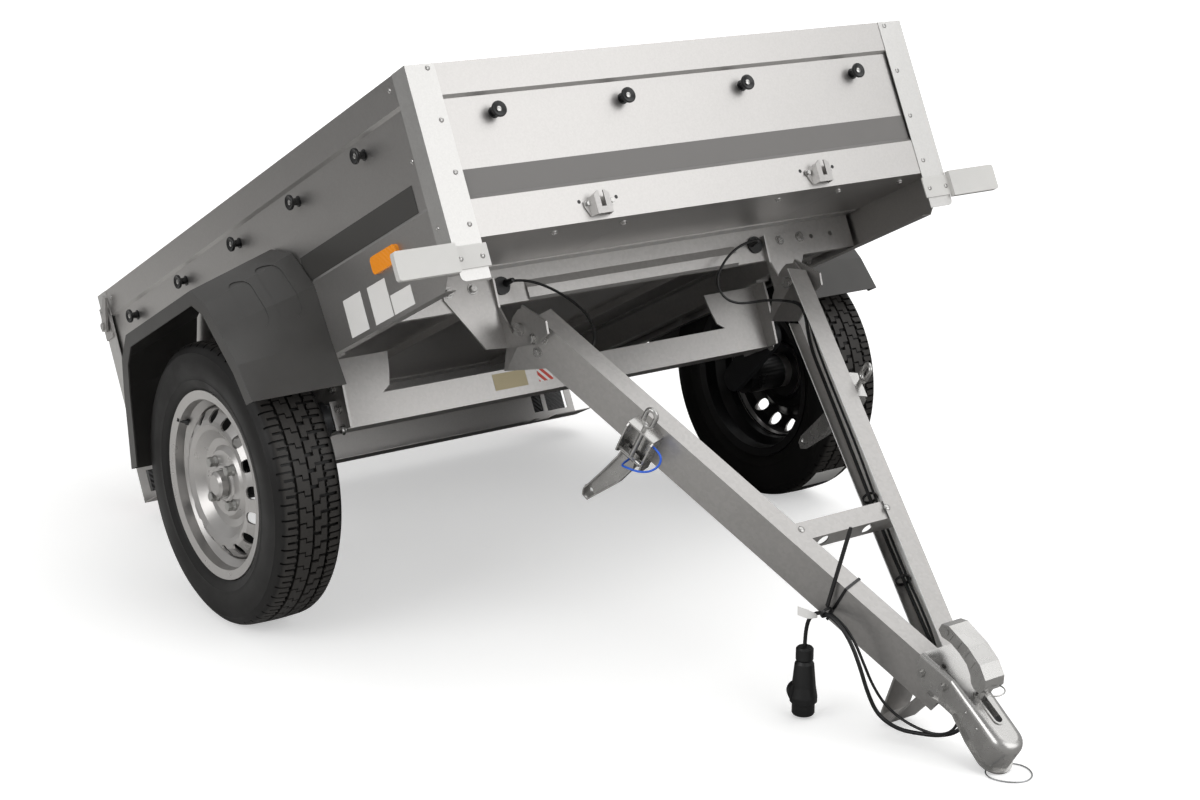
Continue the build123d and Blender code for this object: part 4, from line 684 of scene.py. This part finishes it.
# rivets, bolts and screws; each section is radius and height, and has its number of sides
washer = ((0.0, 0.0), (0.0105, 0.0), (0.0105, 0.0014), (0.0, 0.0014))
smallWasher = ((0.0, 0.0), (0.0066, 0.0), (0.0064, 0.0010), (0.0, 0.0010))
nut = ((0.0, 0.0013), (0.0070, 0.0013), (0.0074, 0.0019), (0.0074, 0.0060), (0.0064, 0.0070), (0.0, 0.0070))
smallNut = ((0.0, 0.0009), (0.0046, 0.0009), (0.0048, 0.0013), (0.0048, 0.0044), (0.0042, 0.0050),
            (0.0, 0.0050))
heads = {
    "rivet": [(((0.0, 0.0), (0.0048, 0.0), (0.0046, 0.0007), (0.0036, 0.0015), (0.0020, 0.0019),
                (0.0013, 0.0012), (0.0, 0.0012)), 16)],
    "smallRivet": [(((0.0, 0.0), (0.0034, 0.0), (0.0032, 0.0006), (0.0022, 0.0013), (0.0, 0.0016)), 14)],
    "dome": [(((0.0, 0.0), (0.0064, 0.0), (0.0062, 0.0012), (0.0046, 0.0025), (0.0022, 0.0031),
               (0.0, 0.0032)), 20)],
    "bolt": [(washer, 22), (nut, 6)],
    "smallBolt": [(smallWasher, 18), (smallNut, 6)],
    "hole": [(((0.0, 0.0), (0.0036, 0.0), (0.0034, 0.0002), (0.0, 0.0002)), 16)],
}
headTurn = 17.0  # degrees from one head to the next, so that no two hexagons line up
headSharp = 30.0

# each row's places are given for the far half, and the near half gets the same
# columns: node, head, looked for from, places; a place is the two of along, across and height that are kept
boxRivets = (
    ("corner_posts", "rivet", "ahead behind",
     [(0.523, 0.298), (0.523, 0.206), (0.523, 0.114), (0.523, 0.023)]),
    ("side_panel", "rivet", "beside", [(-0.067, 0.285), (-0.064, 0.157), (-1.391, 0.285), (-1.394, 0.157)]),
    ("corner_posts", "rivet", "beside", [(-0.030, 0.029), (-1.428, 0.029)]),
    ("front_markers", "rivet", "ahead", [(0.559, -0.034), (0.516, -0.034)]),
    ("side_panel", "smallRivet", "beside", [(-1.1, -0.045), (-1.25, -0.045)]),
    ("tailgate_latches", "smallRivet", "beside", [(-1.430, 0.262), (-1.430, 0.218)]),
)
boxBolts = (
    ("front_panel", "smallBolt", "below", [(-0.045, 0.18), (-0.045, 0.33), (-0.045, 0.49)]),
    ("hinge_brackets", "bolt", "ahead", [(0.366, -0.032), (0.418, -0.032)]),
    ("catches", "smallBolt", "ahead", [(0.2275, 0.029), (0.2785, 0.029)]),
    ("hinge_brackets", "bolt", "beside", [(-0.2032, -0.1548)]),
    ("axle_plates", "bolt", "beside", [(-0.60, -0.118), (-0.60, -0.158), (-0.60, -0.198)]),
    ("side_rails", "bolt", "beside", [(-0.42, -0.058), (-0.9, -0.058)]),
    ("rear_sill", "smallBolt", "behind", [(0.47, -0.035), (0.30, -0.035)]),
    ("light_bar", "smallBolt", "behind", [(0.20, -0.12), (0.44, -0.12)]),
)
spareHoles = (
    ("front_panel", "hole", "ahead", [(0.213, 0.035), (0.293, 0.035)]),
)
barBolts = (
    ("arm", "bolt", "beside", [(0.048, 0.020), (0.048, -0.014)]),
    ("arm", "dome", "above", [(0.586, 0.10)]),
    ("coupling_shell", "smallRivet", "beside", [(0.9985, 0.036), (1.0310, 0.034)]),
    ("latch_levers", "smallRivet", "beside", [(0.2505, -0.163)]),
)


def bothHalves(rows):
    for sideName, side in reversed(sides.items()):
        for nodeName, head, fromSides, places in rows:
            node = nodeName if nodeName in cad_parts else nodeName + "_" + sideName
            for first, second in places:
                for fromSide in fromSides.split():
                    yield node, head, aim(fromSide, first, second, side)


def fasten(name, body, finish, place, rows):
    bm = bmesh.new()
    seated, missed = 0, 0
    for k, (node, head, (start, way)) in enumerate(bothHalves(rows)):
        hit, normal = touch(node, place, start, way)
        if hit is None:
            missed += 1
            continue
        seated += 1
        for section, steps in heads[head]:
            lathe(bm, section, facing(hit, normal, headTurn * k), steps)
    print(name, seated, "fixings,", missed, "missed")
    finishPiece(name, bm, body, finish, headSharp)


fasten("panelRivets", "box", brightZinc, boxFrame, boxRivets)
fasten("boxBolts", "box", brightZinc, boxFrame, boxBolts)
fasten("catchSpareHoles", "box", nylon, boxFrame, spareHoles)
fasten("drawbarBolts", "drawbar", brightZinc, barFrame, barBolts)

# cover knobs: turned nylon mushrooms with a plated screw sunk in the cap
knobs = {
    "body": (
        (0.0, -0.0005), (0.0105, -0.0005), (0.0104, 0.0009), (0.0092, 0.0016), (0.0070, 0.0018),
        (0.0066, 0.0110), (0.0092, 0.0138), (0.0138, 0.0160), (0.0146, 0.0180), (0.0144, 0.0204),
        (0.0132, 0.0214), (0.0118, 0.0212), (0.0074, 0.0188), (0.0044, 0.0182), (0.0, 0.0182),
    ),
    "screw": (
        (0.0, 0.0181), (0.0050, 0.0181), (0.0049, 0.0196), (0.0028, 0.0205), (0.0014, 0.0205),
        (0.0011, 0.0198), (0.0, 0.0198),
    ),
    "bodySteps": 28, "screwSteps": 14, "sharp": 40.0,
    "front": (-0.4125, -0.1375, 0.1375, 0.4125), "frontHeight": 0.211,
    "side": (-0.211, -0.481, -0.751, -1.021, -1.291), "sideHeight": 0.218,
}
knobSeats = [("front_panel", aim("ahead", y, knobs["frontHeight"])) for y in knobs["front"]]
for sideName, side in sides.items():
    for x in knobs["side"]:
        knobSeats.append(("side_panel_" + sideName, aim("beside", x, knobs["sideHeight"], side)))
caps, screws = bmesh.new(), bmesh.new()
for nodeName, (start, way) in knobSeats:
    seat = facing(*touch(nodeName, boxFrame, start, way))
    lathe(caps, knobs["body"], seat, knobs["bodySteps"])
    lathe(screws, knobs["screw"], seat, knobs["screwSteps"])
coverKnobs = finishPiece("coverKnobs", caps, "box", nylon, knobs["sharp"])
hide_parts("tarp_knobs")
finishPiece("knobScrews", screws, "box", brightZinc, knobs["sharp"])

# round feet under the tail lamps
lampFoot = {
    "section": ((0.0, 0.0), (0.0150, 0.0), (0.0150, 0.0060), (0.0120, 0.0095), (0.0, 0.0100)),
    "steps": 24, "along": -1.472, "across": 0.500,
}
bm = bmesh.new()
for side in (-1, 1):
    start, way = aim("below", lampFoot["along"], lampFoot["across"], side)
    lathe(bm, lampFoot["section"], facing(*touch("tail_lamps", boxFrame, start, way)), lampFoot["steps"])
finishPiece("lampFeet", bm, "box", nylon)

# tapered sleeves where the two leads leave their grommets
sleeve = {
    "section": (
        (0.0, -0.001), (0.0074, -0.001), (0.0072, 0.003), (0.0056, 0.006), (0.0052, 0.016),
        (0.0038, 0.024), (0.0030, 0.0245), (0.0, 0.0245),
    ),
    "steps": 20,
}
bm = bmesh.new()
for route in (routes["nearCable"], routes["farCable"]):
    first, second = Vector(route[0]), Vector(route[1])
    lathe(bm, sleeve["section"], facing(first, second - first), sleeve["steps"])
finishPiece("leadSleeves", bm, "box", softPvc)

# a ring of wire through the nose of the coupling's handle
ring = {
    "place": (1.0002, 0.002, 0.0875), "radius": 0.0172, "wire": 0.0012, "steps": 48, "wireSteps": 10,
    "dip": 6, "lean": 8,  # degrees off level
}
bm = bmesh.new()
wireSection = Matrix.Translation((ring["radius"], 0, 0)) @ Matrix.Rotation(math.pi / 2, 4, "X")
bmesh.ops.create_circle(bm, segments=ring["wireSteps"], radius=ring["wire"], cap_ends=False,
                        matrix=wireSection)
spinClosed(bm, list(bm.verts) + list(bm.edges), ring["steps"])
tilt = Matrix.Rotation(math.radians(ring["dip"] - stand["barDroop"]), 4, "Y")
tilt = tilt @ Matrix.Rotation(math.radians(ring["lean"]), 4, "X")
bmesh.ops.transform(bm, matrix=barFrame @ Matrix.Translation(ring["place"]) @ tilt, verts=bm.verts)
finishPiece("handleRing", bm, "drawbar", brightZinc)

# the tyre valves, which lean out through the rims, and the bead round each dust cap
valve = {
    "section": (
        (0.0, -0.002), (0.0062, -0.002), (0.0060, 0.004), (0.0042, 0.007), (0.0040, 0.014),
        (0.0044, 0.0145), (0.0042, 0.021), (0.0030, 0.022), (0.0, 0.022),
    ),
    "steps": 16, "turn": 146.0, "reach": 0.159, "base": 0.044, "lean": 34.0,
}
capRing = {
    "section": ((0.0256, 0.0420), (0.0282, 0.0422), (0.0286, 0.0404), (0.0262, 0.0398), (0.0256, 0.0420)),
    "steps": 40,
}
for sideName, side in sides.items():
    around = Matrix.Rotation(math.radians(-side * valve["turn"]), 4, "Z")
    seat = around @ Matrix.Translation((valve["reach"], 0, valve["base"]))
    seat = seat @ Matrix.Rotation(math.radians(valve["lean"]), 4, "Y")
    bm = bmesh.new()
    lathe(bm, valve["section"], wheelPlace(side) @ seat, valve["steps"])
    finishPiece("valve" + sideName.capitalize(), bm, "wheel_" + sideName, nylon)
    bm = bmesh.new()
    lathe(bm, capRing["section"], wheelPlace(side), capRing["steps"])
    finishPiece("capRing" + sideName.capitalize(), bm, "wheel_" + sideName, wheelZinc)

# a blank paper label round the far tyre's tread; turn is in degrees about the axle
treadLabel = {
    "turn": (40.0, 53.0), "wide": (-0.050, 0.034), "radius": 0.2743, "steps": 10, "thickness": 0.0002,
}
bm = bmesh.new()
first, last = (math.radians(turn) for turn in treadLabel["turn"])
start = Vector((math.cos(first), math.sin(first), 0.0)) * treadLabel["radius"]
ends = [bm.verts.new(start + Vector((0.0, 0.0, z))) for z in treadLabel["wide"]]
edge = bm.edges.new(ends)
bmesh.ops.spin(bm, geom=ends + [edge], cent=(0, 0, 0), axis=(0, 0, 1), angle=last - first,
               steps=treadLabel["steps"])
thicken(bm, treadLabel["thickness"], start)
bmesh.ops.transform(bm, matrix=wheelPlace(1), verts=bm.verts)
finishPiece("treadLabel", bm, "wheel_left", labelPaper)

# a blank paper tag on the plug's cable, wider and a little bowed towards its free end
tag = {
    "start": (-0.3140, -0.1180, 0.1490), "away": (-0.594, -0.804, 0.0), "bowTowards": (0.804, -0.594, 0.0),
    "length": 0.034, "startWidth": 0.006, "width": 0.016, "flare": 2.2, "rise": 0.010,
    "bow": 0.0035, "twist": 0.0015, "thickness": 0.0003, "cells": (14, 4),
}
bm = bmesh.new()
bmesh.ops.create_grid(bm, x_segments=tag["cells"][0], y_segments=tag["cells"][1], size=1.0)
for v in bm.verts:
    along, across = (v.co.x + 1) / 2, v.co.y / 2
    width = tag["startWidth"] + (tag["width"] - tag["startWidth"]) * min(1.0, along * tag["flare"])
    bow = tag["bow"] * math.sin(math.pi * along) - tag["twist"] * across
    height = across * width + tag["rise"] * along
    v.co = (Vector(tag["start"]) + Vector(tag["away"]) * tag["length"] * along
            + Vector((0.0, 0.0, height)) + Vector(tag["bowTowards"]) * bow)
thicken(bm, tag["thickness"])
finishPiece("cableTag", bm, "drawbar", labelPaper)

# the tie's long tail: a notched nylon strap, with its ends given along the drawbar and up from it
strap = {
    "root": (0.7170, 0.002), "tip": (0.6745, 0.1605), "width": 0.0060, "thickness": 0.0036, "inward": 0.0011,
    "notches": 70, "notchDepth": 0.0003, "taper": 0.35, "taperFrom": 0.94, "edgeRise": 0.14,
    "tieAt": (0.697, 0.076),
}
bm = bmesh.new()
bmesh.ops.create_grid(bm, x_segments=strap["notches"], y_segments=2, size=1.0)
start, way = aim("beside", *strap["tieAt"], sides["right"])
tieFace = touch("plug_tie", barFrame, start, way)[0]
strapAcross = (barFrame.inverted() @ tieFace).y - strap["inward"]
for v in bm.verts:
    along = (v.co.x + 1) / 2
    notch = round(along * strap["notches"]) % 2 * strap["notchDepth"]
    narrowed = 1.0 - strap["taper"] * max(0.0, along - strap["taperFrom"]) / (1.0 - strap["taperFrom"])
    edge = v.co.y * strap["width"]
    s = strap["root"][0] + (strap["tip"][0] - strap["root"][0]) * along + edge / 2 * narrowed
    h = strap["root"][1] + (strap["tip"][1] - strap["root"][1]) * along + edge * strap["edgeRise"]
    v.co = barFrame @ Vector((s, strapAcross - notch, h))
thicken(bm, strap["thickness"], (0, -1, 0))
finishPiece("tieTail", bm, "drawbar", nylon)
print("fittings made")

# floor, backdrop and lamps
studio = {
    "floorSize": 60.0,
    "glow": (0.42, 1.0), "glowFrom": 2.5, "glowTo": 9.0,  # the floor's own light, stronger far off
    "shadeTones": ("5C5B5A", "F4F3F1"),  # what the object sees of the floor, under it and round it
    "nearStrip": (-2.8, -1.3, -1.0, -0.1),  # where the floor turns pale and dark again beside the object
    "ahead": (-0.65, -0.25), "aheadShare": 0.35,  # where it turns partly pale under the drawbar
    "world": 0.5,
    "dusk": 0.85, "duskFrom": -0.75, "duskTo": 0.35,  # the room is darker on its near side, behind the lamps
}
bm = bmesh.new()
bmesh.ops.create_grid(bm, x_segments=1, y_segments=1, size=studio["floorSize"] / 2,
                      matrix=Matrix.Translation((0, 0, stand["ground"])))
floorMesh = bpy.data.meshes.new("studioFloor")
bm.to_mesh(floorMesh)
bm.free()
studioFloor = bpy.data.objects.new("studioFloor", floorMesh)
bpy.context.scene.collection.objects.link(studioFloor)

# the camera sees a pale floor, paler far off
# the object sees a darker one under it, which keeps its underside in shade
floorPaint, tree, shader, place = startMaterial("pale painted floor", "EDEDEC", 0.9)
distance = addNode(tree, "ShaderNodeVectorMath", {0: place}, operation="LENGTH").outputs["Value"]
glow = addNode(tree, "ShaderNodeMapRange", {
    0: distance, 1: studio["glowFrom"], 2: studio["glowTo"], 3: studio["glow"][0], 4: studio["glow"][1],
})
light = addNode(tree, "ShaderNodeEmission", {"Color": (1, 1, 1, 1), "Strength": glow.outputs[0]})
seen = addNode(tree, "ShaderNodeAddShader", {0: shader.outputs[0], 1: light.outputs[0]})
where = addNode(tree, "ShaderNodeSeparateXYZ", {0: place}).outputs
edges = studio["nearStrip"]
nearOut = addNode(tree, "ShaderNodeMapRange", {0: where["Y"], 1: edges[0], 2: edges[1]}).outputs[0]
nearIn = addNode(tree, "ShaderNodeMapRange", {
    0: where["Y"], 1: edges[2], 2: edges[3], 3: 1.0, 4: 0.0,
}).outputs[0]
near = addNode(tree, "ShaderNodeMath", {0: nearIn, 1: nearOut}, operation="MULTIPLY").outputs[0]
ahead = addNode(tree, "ShaderNodeMapRange", {
    0: where["X"], 1: studio["ahead"][0], 2: studio["ahead"][1], 4: studio["aheadShare"],
}).outputs[0]
pale = addNode(tree, "ShaderNodeMath", {0: near, 1: ahead}, operation="MAXIMUM").outputs[0]
tones = [fromHex(tone) for tone in studio["shadeTones"]]
shade = addNode(tree, "ShaderNodeMix", {0: pale, 6: tones[0], 7: tones[1]}, data_type="RGBA").outputs[2]
unseen = addNode(tree, "ShaderNodeBsdfDiffuse", {"Color": shade})
isCamera = addNode(tree, "ShaderNodeLightPath").outputs["Is Camera Ray"]
mixed = addNode(tree, "ShaderNodeMixShader", {0: isCamera, 1: unseen.outputs[0], 2: seen.outputs[0]})
tree.links.new(mixed.outputs[0], tree.nodes["Material Output"].inputs["Surface"])
studioFloor.data.materials.append(floorPaint)

world = bpy.data.worlds.new("studio")
bpy.context.scene.world = world
world.use_nodes = True
tree = world.node_tree
background = tree.nodes["Background"]
skyward = addNode(tree, "ShaderNodeTexCoord").outputs["Generated"]
apart = addNode(tree, "ShaderNodeSeparateXYZ", {0: skyward}).outputs["Y"]
dusk = addNode(tree, "ShaderNodeMapRange", {
    0: apart, 1: studio["duskFrom"], 2: studio["duskTo"], 3: studio["dusk"],
}).outputs[0]
room = addNode(tree, "ShaderNodeMath", {0: dusk, 1: studio["world"]}, operation="MULTIPLY").outputs[0]
isCamera = addNode(tree, "ShaderNodeLightPath").outputs["Is Camera Ray"]
level = addNode(tree, "ShaderNodeMix", {0: isCamera, 2: room, 3: 1.0}).outputs[0]
background.inputs["Color"].default_value = (1, 1, 1, 1)
tree.links.new(level, background.inputs["Strength"])

# columns: place, width, height, power
lamps = {
    "keyLamp": ((4.4, 1.8, 3.2), 6.0, 4.5, 158.0),
    "fillLamp": ((-0.5, -5.5, 3.0), 4.0, 3.0, 112.0),
    "topLamp": ((-0.8, 2.0, 5.0), 5.5, 5.5, 120.0),
}
lampTarget = Vector((-1.0, 0.0, 0.5))
for name, (place, width, height, power) in lamps.items():
    data = bpy.data.lights.new(name, "AREA")
    data.shape = "RECTANGLE"
    data.size = width
    data.size_y = height
    data.energy = power
    lamp = bpy.data.objects.new(name, data)
    bpy.context.scene.collection.objects.link(lamp)
    back = Vector(place) - lampTarget
    lamp.matrix_world = Matrix.Translation(place) @ back.to_track_quat("Z", "Y").to_matrix().to_4x4()
print("studio lit")
